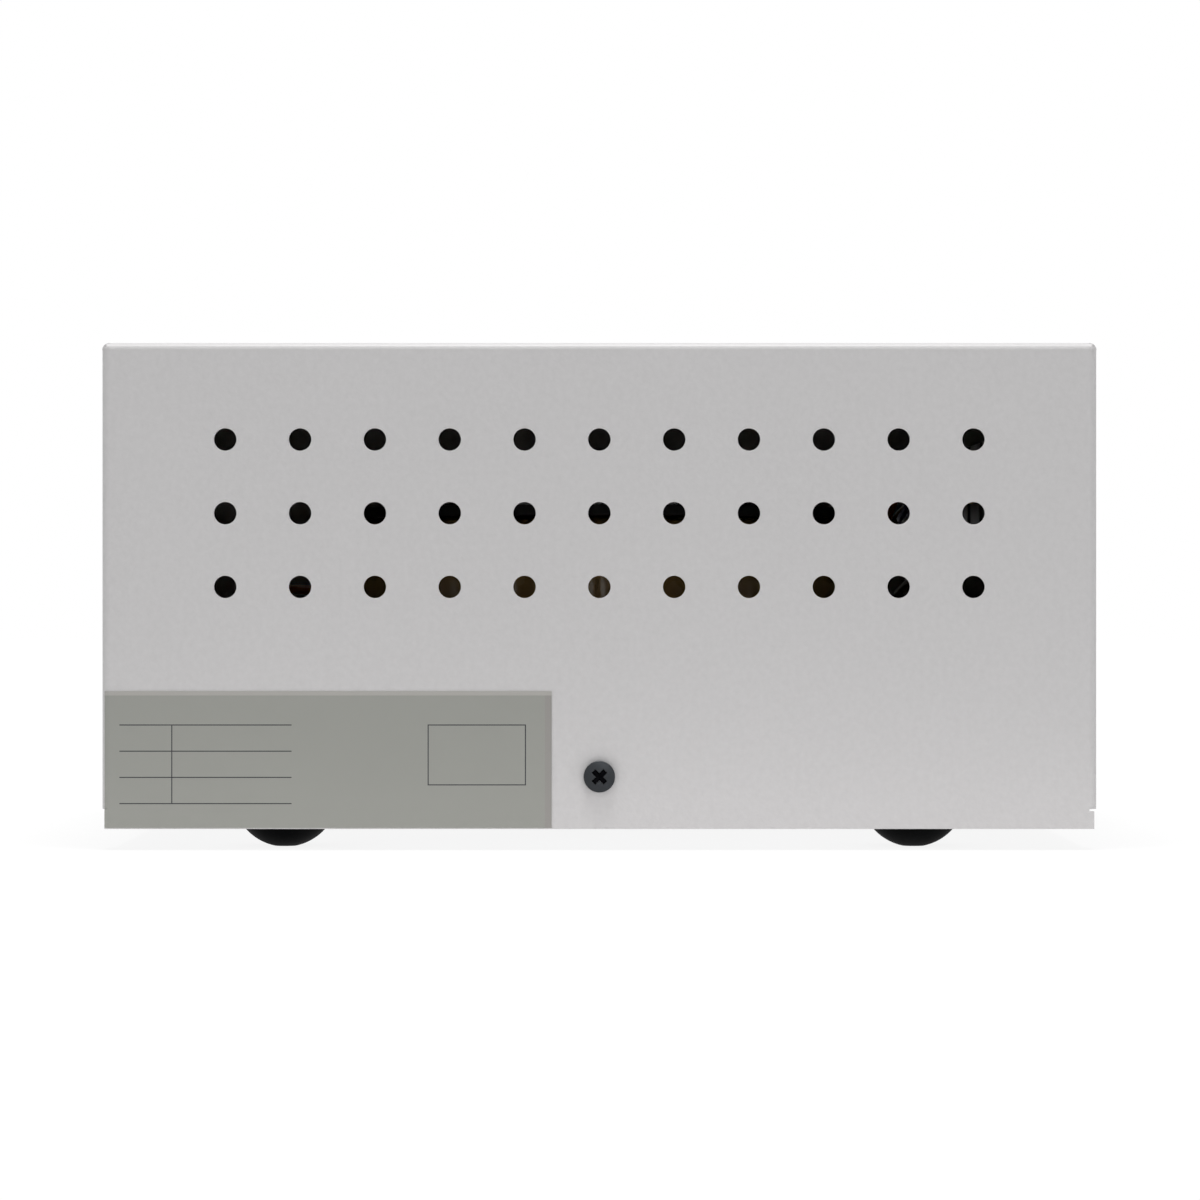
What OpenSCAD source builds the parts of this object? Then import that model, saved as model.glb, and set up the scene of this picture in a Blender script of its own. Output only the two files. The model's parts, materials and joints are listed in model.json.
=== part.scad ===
/* [Case] */
// Room for wires between the wound ring and the tabs of the breakers
wire_room = 8.7; // [8.2:0.1:12]
// Distance between the wound ring and the outside of a long side
side_room = 17.3; // [16.5:0.1:21]
// Distance between the wound ring's top and the cover's top
head_room = 45.7; // [44:0.1:52]
// Thickness of the cover's sheet
cover_t = 1.2; // [1:0.1:1.5]
// Outer radius of the cover's bends
bend_r = 2; // [1.8:0.1:2.5]
// Width of the turned-in lips at the cover's ends
lip_w = 10; // [8:0.5:11]
// Height above the lower edge at which the side lips stop
lip_relief_h = 5.3; // [4.5:0.1:7]
// How far the side sheet stops short of the end below its lips
lip_setback = 0.7; // [0.4:0.1:1.2]
// Width of the mitre slit where the top lip meets a side lip
mitre_gap = 0.6; // [0.4:0.1:1]

/* [Vent holes] */
// Diameter of a vent hole
vent_d = 6; // [5:0.2:7]
// Number of vent holes in a row
vent_cols = 11; // [7:2:11]
// Number of rows of vent holes
vent_rows = 3; // [1:1:3]
// Distance between vent holes along a row
vent_pitch_x = 20; // [18:0.5:21]
// Distance between rows
vent_pitch_z = 19.7; // [17:0.1:20]
// Depth of the top row below the cover's top
vent_top = 25.9; // [20:0.1:30]

/* [Chassis] */
// Thickness of the chassis sheet
chassis_t = 1.6; // [1.4:0.1:2]
// Outer radius of the chassis bends
chassis_bend_r = 2.4; // [2.2:0.1:3]
// Height of the chassis side flanges
side_flange_h = 24; // [22:1:30]
// Height of the chassis end flanges
end_flange_h = 12; // [9:1:14]
// How far the cover hangs below the chassis floor
skirt_drop = 2.3; // [1.5:0.1:3]
// Gap between the cover and the chassis
cover_gap = 0.3; // [0.2:0.1:0.5]
// Height of the cover screws above the cover's lower edge
side_screw_height = 14; // [12:0.5:16]

/* [End panels] */
// Thickness of an end panel
panel_t = 1.6; // [1.2:0.1:2]
// How far the end panels are set back from the cover's ends
panel_inset = 8; // [7:0.5:9]
// Width of the panels' folded flanges
panel_flange = 13; // [12:0.5:15]
// Gap between a panel's top and the cover
panel_top_gap = 0.5; // [0.3:0.1:1]

/* [Rating plate] */
// Distance from the rating plate to the middle of the side
label_gap = 12.75; // [11:0.25:30]
// Height of the rating plate
label_h = 36.5; // [30:0.5:38]
// Thickness of the rating plate
label_t = 0.2; // [0.15:0.05:0.3]
// Distance of the rating plate from the cover's end
label_edge = 0.75; // [0.7:0.05:1.5]
// Distance of the rating plate above the cover's lower edge
label_height = 0.3; // [0.2:0.1:2]

/* [Feet] */
// Height of a foot
foot_h = 8; // [7:0.5:10]
// Radius of a foot's dome
foot_dome_r = 14.4; // [13:0.2:16]
// Diameter of the small flat under a foot
foot_flat_d = 6; // [4:0.5:8]
// Distance from a foot's middle to the cover's end
foot_end_inset = 47.5; // [45:0.5:50]
// Distance from a foot's middle to the cover's long side
foot_side_inset = 24; // [21:0.5:27]

/* [Toroidal transformer] */
// Outer diameter of the steel core
core_od = 140; // [134:1:146]
// Inner diameter of the steel core as a share of the outer
core_bore_share = 0.6; // [0.59:0.01:0.64]
// Height of the steel core
core_h = 50; // [46:1:52]
// Build of the primary winding outside the core
primary_outer = 4.5; // [4:0.1:5]
// Build of the primary winding inside the core's hole
primary_inner = 7; // [6:0.1:7.5]
// Build of the primary winding over the core's ends
primary_axial = 5; // [4.5:0.1:5.5]
// Build of the secondary winding outside
secondary_outer = 4.2; // [3.8:0.1:4.6]
// Build of the secondary winding inside the hole
secondary_inner = 6.7; // [6:0.1:7]
// Build of the secondary winding over the ends
secondary_axial = 4.7; // [4.2:0.1:5.2]
// Thickness of each insulation layer
insulation_t = 0.9; // [0.7:0.05:1]
// Thickness of the electrostatic shield's foil
shield_t = 0.3; // [0.2:0.05:0.4]
// Thickness of the outer wrap
wrap_t = 1; // [0.8:0.05:1.1]
// Thickness of the rubber pads under and over the winding
pad_t = 3; // [2:0.25:4]
// Distance from the clamp dish's edge to the pad's outer edge
dish_inset = 19.7; // [15:0.1:22]
// Thickness of the clamp dish
dish_t = 2; // [1.5:0.1:2.5]
// Diameter of the centre bolt
bolt_d = 8; // [7:0.5:9]

/* [Power switch and pilot lamp] */
// Place of the switch across the front panel
switch_across = -58; // [-62:1:-50]
// Height of the switch above the chassis floor
switch_height = 44; // [42:1:50]
// Height of the panel cut-out for the switch
switch_cut_h = 27; // [26.5:0.1:27.5]
// Width of the panel cut-out for the switch
switch_cut_w = 22; // [21.5:0.1:22.5]
// Depth of the switch behind the panel's face
switch_depth = 22; // [20:0.5:24]
// Angle that the rocker leans to each side
rocker_angle = 11; // [9:0.5:12]
// Gap between the switch's rim and the pilot lamp's rim
lamp_gap = 9.75; // [7:0.25:18]
// Diameter of the pilot lamp's panel hole
lamp_hole_d = 10; // [9.5:0.1:11]
// Diameter of the pilot lamp's rim
lamp_rim_d = 13.5; // [13:0.1:15]

/* [Mains inlet] */
// Place of the inlet across the rear panel
inlet_across = -60; // [-62:1:-56]
// Height of the inlet above the chassis floor
inlet_height = 40; // [36:1:44]
// Width of the inlet's cavity
inlet_cavity_w = 24.6; // [24.2:0.1:25]
// Height of the inlet's cavity
inlet_cavity_h = 16.6; // [16.2:0.1:17]
// Depth of the inlet's cavity
inlet_cavity_depth = 16.6; // [16:0.2:18]
// Distance between the inlet's fixing screws
inlet_screw_spacing = 40; // [39.5:0.1:41]

/* [Outlets] */
// Gap between the rims of neighbouring outlets
outlet_gap = 3.9; // [2:0.1:4.5]
// Height of the outlets above the chassis floor
outlet_height = 90; // [86:1:92]
// Width of an outlet's island
outlet_island_w = 23.6; // [23.4:0.1:24]
// Height of an outlet's island
outlet_island_h = 15.8; // [15.6:0.1:16.2]
// Width of the slot round the island
outlet_moat = 2.5; // [2.3:0.1:2.7]
// Depth of the slot round the island
outlet_depth = 17; // [16:0.5:18]

/* [Voltage selector] */
// Place of the selector across the rear panel
selector_across = -10; // [-12:1:-8]
// Travel of the selector's slider
selector_travel = 5.5; // [4.5:0.1:6]
// Length of the selector's slider
selector_slider_l = 8; // [7:0.1:9]
// Height of the selector's slider
selector_slider_h = 7.4; // [6.5:0.1:8]

/* [Circuit breakers] */
// Place of the input breaker across the rear panel
input_breaker_across = 30; // [26:1:32]
// Place of the output breaker across the rear panel
output_breaker_across = 64; // [60:1:68]
// Diameter of a breaker's neck
breaker_neck_d = 10; // [9.5:0.1:11]
// Diameter of a reset button
reset_button_d = 6; // [5:0.1:6.5]
// Travel of a reset button when the breaker trips
reset_travel = 2.5; // [2:0.1:3]

/* [Hidden] */
$fn = 64;
// Overrun of every cut past the face it opens
cut = 0.5;
// Gap between a screw's shank and the hole that it passes
hole_gap = 0.25;
// Gap between a moulded body and the panel cut-out that it fills
cut_gap = 0.25;
// Gap between wound layers
layer_gap = 0.05;
// Gap round a piece that is pressed or moulded into another
press_gap = 0.05;
// Corner of sheet left out where two flanges meet
corner_notch = 4;

// Levels of the chassis
floor_z = foot_h;
deck_z = floor_z + chassis_t;
edge_z = foot_h - skirt_drop;
side_screw_z = edge_z + side_screw_height;

// Transformer, with each layer's build outside, inside and over the ends
core_or = core_od / 2;
core_ir = core_or * core_bore_share;
core_corner_r = 2;
film = [insulation_t, insulation_t, insulation_t];
build_primary = [primary_outer, primary_inner, primary_axial];
build_secondary = [secondary_outer, secondary_inner, secondary_axial];
builds = [
  [0, 0, 0], film, build_primary, film, [shield_t, shield_t, shield_t], film, build_secondary,
  [wrap_t, wrap_t, wrap_t]
];
function total_build(n) = n == 0 ? builds[0] : builds[n] + total_build(n - 1);
last_layer = len(builds) - 1;
toroid_r = core_or + total_build(last_layer)[0];
toroid_hole_r = core_ir - total_build(last_layer)[1];
toroid_h = core_h + 2 * total_build(last_layer)[2];
toroid_z = deck_z + pad_t;
toroid_mid_z = toroid_z + toroid_h / 2;
toroid_top = toroid_z + toroid_h;
dish_drop = 6;
dish_gap = 0.3;
dish_seat_share = 0.54;
pad_margin = 8;
pad_inner_margin = 5;
pad_or = toroid_r - pad_margin;
pad_ir = toroid_hole_r + pad_inner_margin;
dish_r = pad_or - dish_inset;
dish_flat_r = pad_ir - dish_gap;
dish_seat_r = dish_flat_r * dish_seat_share;
dish_z = toroid_top + pad_t;
dish_seat_z = dish_z - dish_drop + dish_t;
bolt_head_af = 13;
bolt_head_h = 4.4;
washer_d = 17;
washer_t = 1.6;
bolt_nut_h = 6.5;
bolt_end = 3;
bolt_top = dish_seat_z + washer_t + bolt_nut_h + bolt_end;

// Half sizes of the case from outside to inside, with the end panels' devices beside the ring
tab_l = 8;
breaker_body_back = 24;
half_l = toroid_r + wire_room + tab_l + breaker_body_back + panel_t + panel_inset;
half_w = toroid_r + side_room;
case_l = 2 * half_l;
case_w = 2 * half_w;
top_z = toroid_top + head_room;
cover_h = top_z - edge_z;
inner_l = half_l - cover_t;
inner_w = half_w - cover_t;
inner_top = top_z - cover_t;
tray_l = inner_l - cover_gap;
tray_w = inner_w - cover_gap;

// End panels
panel_x = half_l - panel_inset;
panel_side_gap = 0.3;
panel_half_w = tray_w - chassis_t - panel_side_gap;
panel_top = inner_top - panel_top_gap;
panel_h = panel_top - deck_z;
panel_mid_z = (panel_top + deck_z) / 2;
panel_bend_in = 0.8;
panel_bend_r = panel_t + panel_bend_in;
panel_screw_in = 8;
// Half width and height of the panel for which the places on it are given
panel_given_half_w = 96.6;
panel_given_h = 124.4;
function across(y) = y * panel_half_w / panel_given_half_w;
function height(z) = deck_z + z * panel_h / panel_given_h;
panel_screw_across = 70;
panel_screw_spacing = across(panel_screw_across);

// Cover screws
cover_screw_d = 4;
cover_screw_l = 9;
cover_head_d = 8.4;
cover_head_h = 2.6;
cover_nut_d = 8.2;
cover_nut_h = 2.2;
// Cross recess of a screw as shares of its head
cross_span_share = 0.56;
cross_width_share = 0.13;
cross_depth_share = 0.5;
head_crown_share = 0.62;

// Panel screws and their clinch nuts
small_screw_d = 3;
small_screw_l = 6.5;
small_head_d = 5.6;
small_head_h = 2;
small_nut_d = 6.2;
small_nut_h = 1.8;

// Feet
stud_d = 5;
stud_disc_d = 14;
stud_disc_t = 1.5;
stud_h = 7.5;
stud_nut_af = 8;
stud_nut_h = 4;
foot_places = [
  for (x = [-1, 1], y = [-1, 1]) [x * (half_l - foot_end_inset), y * (half_w - foot_side_inset)]
];

// Power switch
switch_y = across(switch_across);
switch_z = height(switch_height);
switch_rim = 2;
switch_rim_t = 2;
switch_rim_r = 1.5;
switch_end_wall = 1.3;
switch_side_wall = 1.2;
rocker_gap = 0.35;
rocker_r = switch_cut_h / 2 - cut_gap - switch_end_wall - rocker_gap;
rocker_w = switch_cut_w - 2 * (cut_gap + switch_side_wall + rocker_gap);
rocker_rise = 3.2;
rocker_below = 4;
rocker_well = 7.5;
rocker_pin_r = 1.5;
rocker_pin_l = 1.2;
rocker_pin_gap = 0.08;
pivot_out = -0.5;
tab_w = 6.3;
tab_t = 0.8;
switch_tab_x = 7;
switch_tab_y = 5;

// Pilot lamp
lamp_z = switch_z + switch_cut_h / 2 + switch_rim + lamp_gap + lamp_rim_d / 2;
lamp_rim_t = 1.6;
lamp_body_l = 17;
lamp_bore_d = 7.6;
lamp_bore_l = 8;
lamp_lens_gap = 0.1;
lamp_lens_out = 2.2;
lamp_lens_crown = 1.6;
lamp_nut_af = 14;
lamp_nut_h = 2.6;

// Inlet
inlet_y = across(inlet_across);
inlet_z = height(inlet_height);
inlet_flange_w = 49;
inlet_flange_h = 23;
inlet_flange_t = 3;
inlet_flange_r = 3;
inlet_wall = 1.5;
inlet_back_t = 2.4;
inlet_chamfer = 4;
pin_w = 2;
pin_h = 4;
pin_spread = 7;
pin_offset = 2;
pin_back = 4.2;
inlet_body_back = inlet_cavity_depth - inlet_flange_t + inlet_back_t;

// Outlets, one node each
outlet_count = 4;
outlet_z = height(outlet_height);
outlet_rim = 3.6;
outlet_rim_t = 2;
outlet_rim_r = 2.5;
outlet_wall = 1.3;
outlet_back_t = 3;
outlet_chamfer = 3.6;
slot_w = 2.4;
slot_h = 4.8;
slot_mouth = 2.5;
chamber_w = 4.2;
chamber_h = 5.4;
leaf_t = 0.5;
leaf_gap = 0.15;
outlet_body_back = outlet_depth - outlet_rim_t + outlet_back_t;
outlet_outer_w = outlet_island_w + 2 * (outlet_moat + outlet_wall);
outlet_outer_h = outlet_island_h + 2 * (outlet_moat + outlet_wall);
outlet_rim_w = outlet_outer_w + 2 * outlet_rim - outlet_wall;
outlet_rim_h = outlet_outer_h + 2 * outlet_rim - outlet_wall;
outlet_pitch = outlet_rim_w + outlet_gap;
outlet_ys = [for (i = [0:outlet_count - 1]) (i - (outlet_count - 1) / 2) * outlet_pitch];

// Voltage selector
selector_y = across(selector_across);
selector_z = inlet_z;
selector_rim_w = 31;
selector_rim_h = 18;
selector_rim_t = 1.5;
selector_rim_r = 1.5;
selector_body_w = 27;
selector_body_h = 14;
selector_body_back = 13;
selector_gap = 0.3;
selector_well = 5;
selector_sink = 0.6;
selector_groove_w = 1.4;
selector_groove_depth = 1.2;
selector_tab_y = 8;
selector_tab_x = 3.5;
selector_tab_w = 4.8;

// Circuit breakers
input_breaker_y = across(input_breaker_across);
output_breaker_y = across(output_breaker_across);
breaker_z = inlet_z;
breaker_body_w = 14;
breaker_body_h = 26;
breaker_neck_out = 4;
breaker_nut_af = 14;
breaker_nut_h = 2.8;
reset_button_gap = 0.1;
reset_guide = 9.5;
reset_button_in = reset_guide + reset_travel;
reset_button_out = 1.5;
breaker_tab_x = 7;

// Terminal block on the chassis floor behind the front panel
block_inset = 23;
block_x = block_inset - panel_x;
block_across = 48;
block_y = across(block_across);
block_ways = 6;
block_pitch = 9.5;
block_w = 17;
block_base_h = 7;
block_rib_h = 13;
block_rib_t = 1.5;
block_end = 6;
block_screw_sink = 3;
terminal_screw_l = 4.5;
block_l = block_ways * block_pitch + 2 * block_end + block_rib_t;
terminal_x = 4.3;

// Earth stud on the chassis floor behind the rear panel
earth_inset = 20;
earth_x = panel_x - earth_inset;
earth_side_inset = 18.6;
earth_y = earth_side_inset - panel_half_w;
earth_flange_d = 9;
earth_flange_t = 1;
earth_stud_h = 11;
lug_d = 10;
lug_t = 0.8;
lug_barrel_x = 11;
lug_barrel_l = 5;

// Leads
lead_r = 1.2;
lead_sides = 8;
lead_steps = 4;
lead_clear = 0.3;
// Straight stretch of a lead off its tab
lead_stub = 4;
loop_stub = 2.5;
loop_side = 2;
loop_rise = 6.5;
loop_depth = 9;
// Height, half spread and angles at which the winding's ends leave the wrap
tap_rise = 18;
tap_z = toroid_mid_z + tap_rise;
tap_spread = 10;
tap_angle = 160;
tap_angle_step = 7;
feed_angle = 45;
return_angle = 38;
// Cable ties
tie_t = 1;
tie_w = 3.6;
tie_gap = 0.1;
tie_x = 15;

// Plane shapes

module round_rect(w, h, r) {
  square([w - 2 * r, h], center = true);
  square([w, h - 2 * r], center = true);
  for (x = [-1, 1], y = [-1, 1])
    translate([x * (w / 2 - r), y * (h / 2 - r)]) circle(r);
}

// Outline standing on Y = 0 with its two upper corners rounded
module round_top(half, h, r) {
  translate([-half, 0]) square([2 * half, h - r]);
  translate([r - half, 0]) square([2 * (half - r), h]);
  for (side = [-1, 1])
    translate([side * (half - r), h - r]) circle(r);
}

// Section of a channel with its web outside at Y = 0 and its flanges pointing to +Y
module channel(half, h, r, t) {
  translate([0, h]) mirror([0, 1]) difference() {
    round_top(half, h, r);
    translate([0, -cut]) round_top(half - t, h - t + cut, r - t);
  }
}

// Rectangle with both corners cut on its +Y side
module cut_corner_rect(w, h, c) {
  polygon([
    [-w / 2, -h / 2], [w / 2, -h / 2], [w / 2, h / 2 - c], [w / 2 - c, h / 2],
    [c - w / 2, h / 2], [-w / 2, h / 2 - c]
  ]);
}

// Fasteners, each with its head's seat at Z = 0 and its shank downwards

module cross_recess(head_d, head_h) {
  depth = head_h * cross_depth_share;
  for (a = [45, 135])
    rotate([0, 0, a])
      translate([0, 0, head_h - depth / 2 + cut / 2])
        cube([head_d * cross_span_share, head_d * cross_width_share, depth + cut], center = true);
}

module pan_screw(d, l, head_d, head_h) {
  crown_r = head_d * head_crown_share;
  difference() {
    union() {
      translate([0, 0, -l]) cylinder(d = d, h = l + head_h / 2);
      rotate_extrude() intersection() {
        square([head_d / 2, head_h]);
        translate([0, head_h - crown_r]) circle(crown_r);
      }
    }
    cross_recess(head_d, head_h);
  }
}

module hex_nut(af, h, bore_d) {
  difference() {
    cylinder(r = af / sqrt(3), h = h, $fn = 6);
    translate([0, 0, -cut]) cylinder(d = bore_d, h = h + 2 * cut);
  }
}

module ring(d, bore_d, h) {
  difference() {
    cylinder(d = d, h = h);
    translate([0, 0, -cut]) cylinder(d = bore_d, h = h + 2 * cut);
  }
}

// Frames on the end panels: X is up, Y runs across and Z points out of the case

module on_front(y, z) {
  translate([-panel_x, y, z]) rotate([0, -90, 0]) children();
}

module on_rear(y, z) {
  translate([panel_x, y, z]) rotate([0, 90, 0]) rotate([0, 0, 180]) children();
}

// Cover

module cover_fold(w) {
  intersection() {
    difference() {
      circle(bend_r);
      circle(bend_r - cover_t);
    }
    square(bend_r);
  }
  translate([bend_r - cover_t, bend_r - w]) square([cover_t, w - bend_r]);
}

module cover_end() {
  side_lip_z = edge_z + lip_relief_h;
  for (side = [0, 1])
    mirror([0, side, 0]) {
      translate([half_l - bend_r, half_w - bend_r, side_lip_z])
        linear_extrude(top_z - bend_r - side_lip_z) cover_fold(lip_w);
      translate([half_l - bend_r - cut, inner_w, edge_z])
        cube([bend_r + cut - lip_setback, cover_t, lip_relief_h - mitre_gap]);
    }
  translate([half_l - bend_r, 0, top_z - bend_r])
    rotate([90, 0, 0]) linear_extrude(case_w - 2 * bend_r, center = true) cover_fold(lip_w);
}

module vent_holes() {
  for (c = [0:vent_cols - 1], r = [0:vent_rows - 1])
    translate([(c - (vent_cols - 1) / 2) * vent_pitch_x, 0, top_z - vent_top - r * vent_pitch_z])
      rotate([90, 0, 0]) cylinder(d = vent_d, h = case_w + 2 * cut, center = true);
}

module cover() {
  color("gainsboro") difference() {
    union() {
      translate([0, 0, edge_z]) rotate([90, 0, 90])
        linear_extrude(case_l - 2 * bend_r, center = true) difference() {
          round_top(half_w, cover_h, bend_r);
          translate([0, -cut])
            round_top(inner_w, cover_h - cover_t + cut, bend_r - cover_t);
        }
      for (end = [0, 1])
        mirror([end, 0, 0]) cover_end();
    }
    vent_holes();
    for (side = [-1, 1], end = [-1, 1])
      translate([end * half_l, side * half_w, top_z]) rotate([side * 45, 0, 0])
        cube([2 * bend_r, mitre_gap, 3 * lip_w], center = true);
    translate([0, 0, side_screw_z]) rotate([90, 0, 0])
      cylinder(d = cover_screw_d + 2 * hole_gap, h = case_w + 2 * cut, center = true);
  }
}

module rating_label() {
  right = -label_gap;
  low = edge_z + label_height;
  bend_x = bend_r - half_l;
  flat_z = edge_z + lip_relief_h;
  color("darkkhaki") translate([0, -half_w, 0]) {
    translate([bend_x, -label_t, low]) cube([right - bend_x, label_t, label_h]);
    translate([label_edge - half_l, -label_t, low])
      cube([bend_r - label_edge, label_t, flat_z - low]);
    translate([bend_x, bend_r, flat_z]) linear_extrude(low + label_h - flat_z) intersection() {
      difference() {
        circle(bend_r + label_t);
        circle(bend_r);
      }
      translate([label_edge - bend_r, -2 * bend_r]) square([bend_r - label_edge, 2 * bend_r]);
    }
  }
}

// Chassis

module chassis() {
  color("silver") difference() {
    union() {
      translate([0, 0, floor_z]) rotate([90, 0, 90])
        linear_extrude(2 * (tray_l - corner_notch), center = true)
          channel(tray_w, side_flange_h, chassis_bend_r, chassis_t);
      translate([0, 0, floor_z]) rotate([90, 0, 0])
        linear_extrude(2 * (tray_w - corner_notch), center = true)
          channel(tray_l, end_flange_h, chassis_bend_r, chassis_t);
    }
    floor_hole(0, 0, bolt_d);
    for (p = foot_places)
      floor_hole(p[0], p[1], stud_d);
    for (p = panel_screw_places())
      floor_hole(p[0], p[1], small_screw_d);
    for (y = block_screw_ys())
      floor_hole(block_x, y, small_screw_d);
    for (side = [-1, 1])
      translate([0, side * (tray_w - chassis_t / 2), side_screw_z]) rotate([90, 0, 0])
        cylinder(d = cover_nut_d + 2 * press_gap, h = chassis_t + 2 * cut, center = true);
  }
}

module floor_hole(x, y, d) {
  translate([x, y, floor_z - cut]) cylinder(d = d + 2 * hole_gap, h = chassis_t + 2 * cut);
}

function panel_screw_places() = [
  for (x = [-1, 1], y = [-1:1]) [x * (panel_x - panel_screw_in), y * panel_screw_spacing]
];

function block_screw_ys() = [
  for (side = [-1, 1]) block_y + side * (block_l / 2 - block_end / 2)
];

module cover_screws() {
  color("dimgray") for (side = [0, 1])
    mirror([0, side, 0]) translate([0, -half_w, side_screw_z]) rotate([90, 0, 0])
      pan_screw(cover_screw_d, cover_screw_l, cover_head_d, cover_head_h);
}

module cover_nuts() {
  color("silver") for (side = [0, 1])
    mirror([0, side, 0])
      translate([0, -tray_w, side_screw_z]) rotate([-90, 0, 0])
        ring(cover_nut_d, cover_screw_d + hole_gap, chassis_t + cover_nut_h);
}

// End panels

module panel_plate() {
  rotate([90, 0, 0])
    linear_extrude(2 * (panel_half_w - corner_notch), center = true)
      mirror([0, 1]) channel(panel_h / 2, panel_flange, panel_bend_r, panel_t);
  rotate([90, 0, 90])
    linear_extrude(panel_h - 2 * corner_notch, center = true)
      mirror([0, 1]) channel(panel_half_w, panel_flange, panel_bend_r, panel_t);
}

module panel_nut_holes() {
  for (y = [-1:1])
    translate([-panel_h / 2 - cut, y * panel_screw_spacing, -panel_screw_in]) rotate([0, 90, 0])
      cylinder(d = small_nut_d + 2 * press_gap, h = panel_t + 2 * cut);
}

// Cut-out through a panel, in the panel's own frame
module window(y, z, w, h) {
  translate([z - panel_mid_z, y, -panel_t / 2]) cube([h, w, panel_t + 2 * cut], center = true);
}

module round_window(y, z, d) {
  translate([z - panel_mid_z, y, -panel_t - cut]) cylinder(d = d, h = panel_t + 2 * cut);
}

module front_panel() {
  color("whitesmoke") on_front(0, panel_mid_z) difference() {
    panel_plate();
    panel_nut_holes();
    window(switch_y, switch_z, switch_cut_w, switch_cut_h);
    round_window(switch_y, lamp_z, lamp_hole_d);
  }
}

module rear_panel() {
  inlet_cut_w = inlet_cavity_w + 2 * (inlet_wall + cut_gap);
  inlet_cut_h = inlet_cavity_h + 2 * (inlet_wall + cut_gap);
  color("whitesmoke") on_rear(0, panel_mid_z) difference() {
    panel_plate();
    panel_nut_holes();
    window(-inlet_y, inlet_z, inlet_cut_w, inlet_cut_h);
    for (side = [-1, 1])
      round_window(side * inlet_screw_spacing / 2 - inlet_y, inlet_z, small_screw_d + hole_gap);
    for (y = outlet_ys)
      window(y, outlet_z, outlet_outer_w + 2 * cut_gap, outlet_outer_h + 2 * cut_gap);
    window(-selector_y, selector_z, selector_body_w + 2 * cut_gap, selector_body_h + 2 * cut_gap);
    for (y = [input_breaker_y, output_breaker_y])
      round_window(-y, breaker_z, breaker_neck_d + 2 * cut_gap);
  }
}

module panel_screws() {
  color("silver") for (p = panel_screw_places())
    translate([p[0], p[1], floor_z]) rotate([180, 0, 0])
      pan_screw(small_screw_d, small_screw_l, small_head_d, small_head_h);
}

module panel_nuts() {
  color("silver") for (p = panel_screw_places())
    translate([p[0], p[1], deck_z])
      ring(small_nut_d, small_screw_d + hole_gap, panel_t + small_nut_h);
}

// Feet

module foot(i) {
  dome_z = sqrt(pow(foot_dome_r, 2) - pow(foot_flat_d / 2, 2));
  color("black") translate([foot_places[i][0], foot_places[i][1], 0]) difference() {
    rotate_extrude() intersection() {
      square([foot_dome_r, foot_h]);
      translate([0, dome_z]) circle(foot_dome_r);
    }
    translate([0, 0, foot_h - stud_disc_t])
      cylinder(d = stud_disc_d + 2 * press_gap, h = stud_disc_t + cut);
  }
}

module foot_front_left() foot(0);
module foot_front_right() foot(1);
module foot_rear_left() foot(2);
module foot_rear_right() foot(3);

module foot_studs() {
  color("silver") for (p = foot_places)
    translate([p[0], p[1], foot_h - stud_disc_t]) {
      cylinder(d = stud_disc_d, h = stud_disc_t);
      cylinder(d = stud_d, h = stud_disc_t + stud_h);
    }
}

module foot_nuts() {
  color("silver") for (p = foot_places)
    translate([p[0], p[1], deck_z]) hex_nut(stud_nut_af, stud_nut_h, stud_d + hole_gap);
}

// Toroidal transformer

// Half section of the wound ring, out to layer n, less a shrink
module ring_section(n, shrink) {
  b = total_build(n);
  outer = core_or + b[0] - shrink;
  inner = core_ir - b[1] + shrink;
  h = core_h + 2 * (b[2] - shrink);
  translate([(outer + inner) / 2, 0]) round_rect(outer - inner, h, core_corner_r + b[0] - shrink);
}

module ring_layer(n) {
  translate([0, 0, toroid_mid_z]) rotate_extrude() difference() {
    ring_section(n, n == last_layer ? 0 : layer_gap);
    ring_section(n - 1, 0);
  }
}

module toroid_core() {
  color("dimgray") translate([0, 0, toroid_mid_z]) rotate_extrude() ring_section(0, layer_gap);
}

module core_insulation() color("beige") ring_layer(1);
module primary_winding() color("peru") ring_layer(2);
module primary_insulation() color("beige") ring_layer(3);
module electrostatic_shield() color("chocolate") ring_layer(4);
module shield_insulation() color("beige") ring_layer(5);
module secondary_winding() color("peru") ring_layer(6);
module outer_wrap() color("burlywood") ring_layer(7);

module lower_pad() {
  color("dimgray") translate([0, 0, deck_z]) ring(2 * pad_or, 2 * pad_ir, pad_t);
}

module upper_pad() {
  color("dimgray") translate([0, 0, toroid_top]) ring(2 * pad_or, 2 * pad_ir, pad_t);
}

// Dished plate whose middle drops into the ring's hole
module clamp_dish() {
  low = -dish_drop;
  color("silver") translate([0, 0, dish_z]) difference() {
    rotate_extrude() polygon([
      [0, low], [dish_seat_r, low], [dish_flat_r, 0], [dish_r, 0], [dish_r, dish_t],
      [dish_flat_r - dish_t / 2, dish_t], [dish_seat_r - dish_t / 2, low + dish_t],
      [0, low + dish_t]
    ]);
    translate([0, 0, low - cut]) cylinder(d = bolt_d + 2 * hole_gap, h = dish_t + 2 * cut);
  }
}

module centre_bolt() {
  color("silver") translate([0, 0, floor_z - washer_t]) {
    translate([0, 0, -bolt_head_h]) cylinder(r = bolt_head_af / sqrt(3), h = bolt_head_h, $fn = 6);
    cylinder(d = bolt_d, h = bolt_top - floor_z + washer_t);
  }
}

module centre_washers() {
  color("silver") for (z = [floor_z - washer_t, dish_seat_z])
    translate([0, 0, z]) ring(washer_d, bolt_d + 2 * hole_gap, washer_t);
}

module centre_nut() {
  color("silver") translate([0, 0, dish_seat_z + washer_t])
    hex_nut(bolt_head_af, bolt_nut_h, bolt_d + hole_gap);
}

// Terminal block

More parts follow.
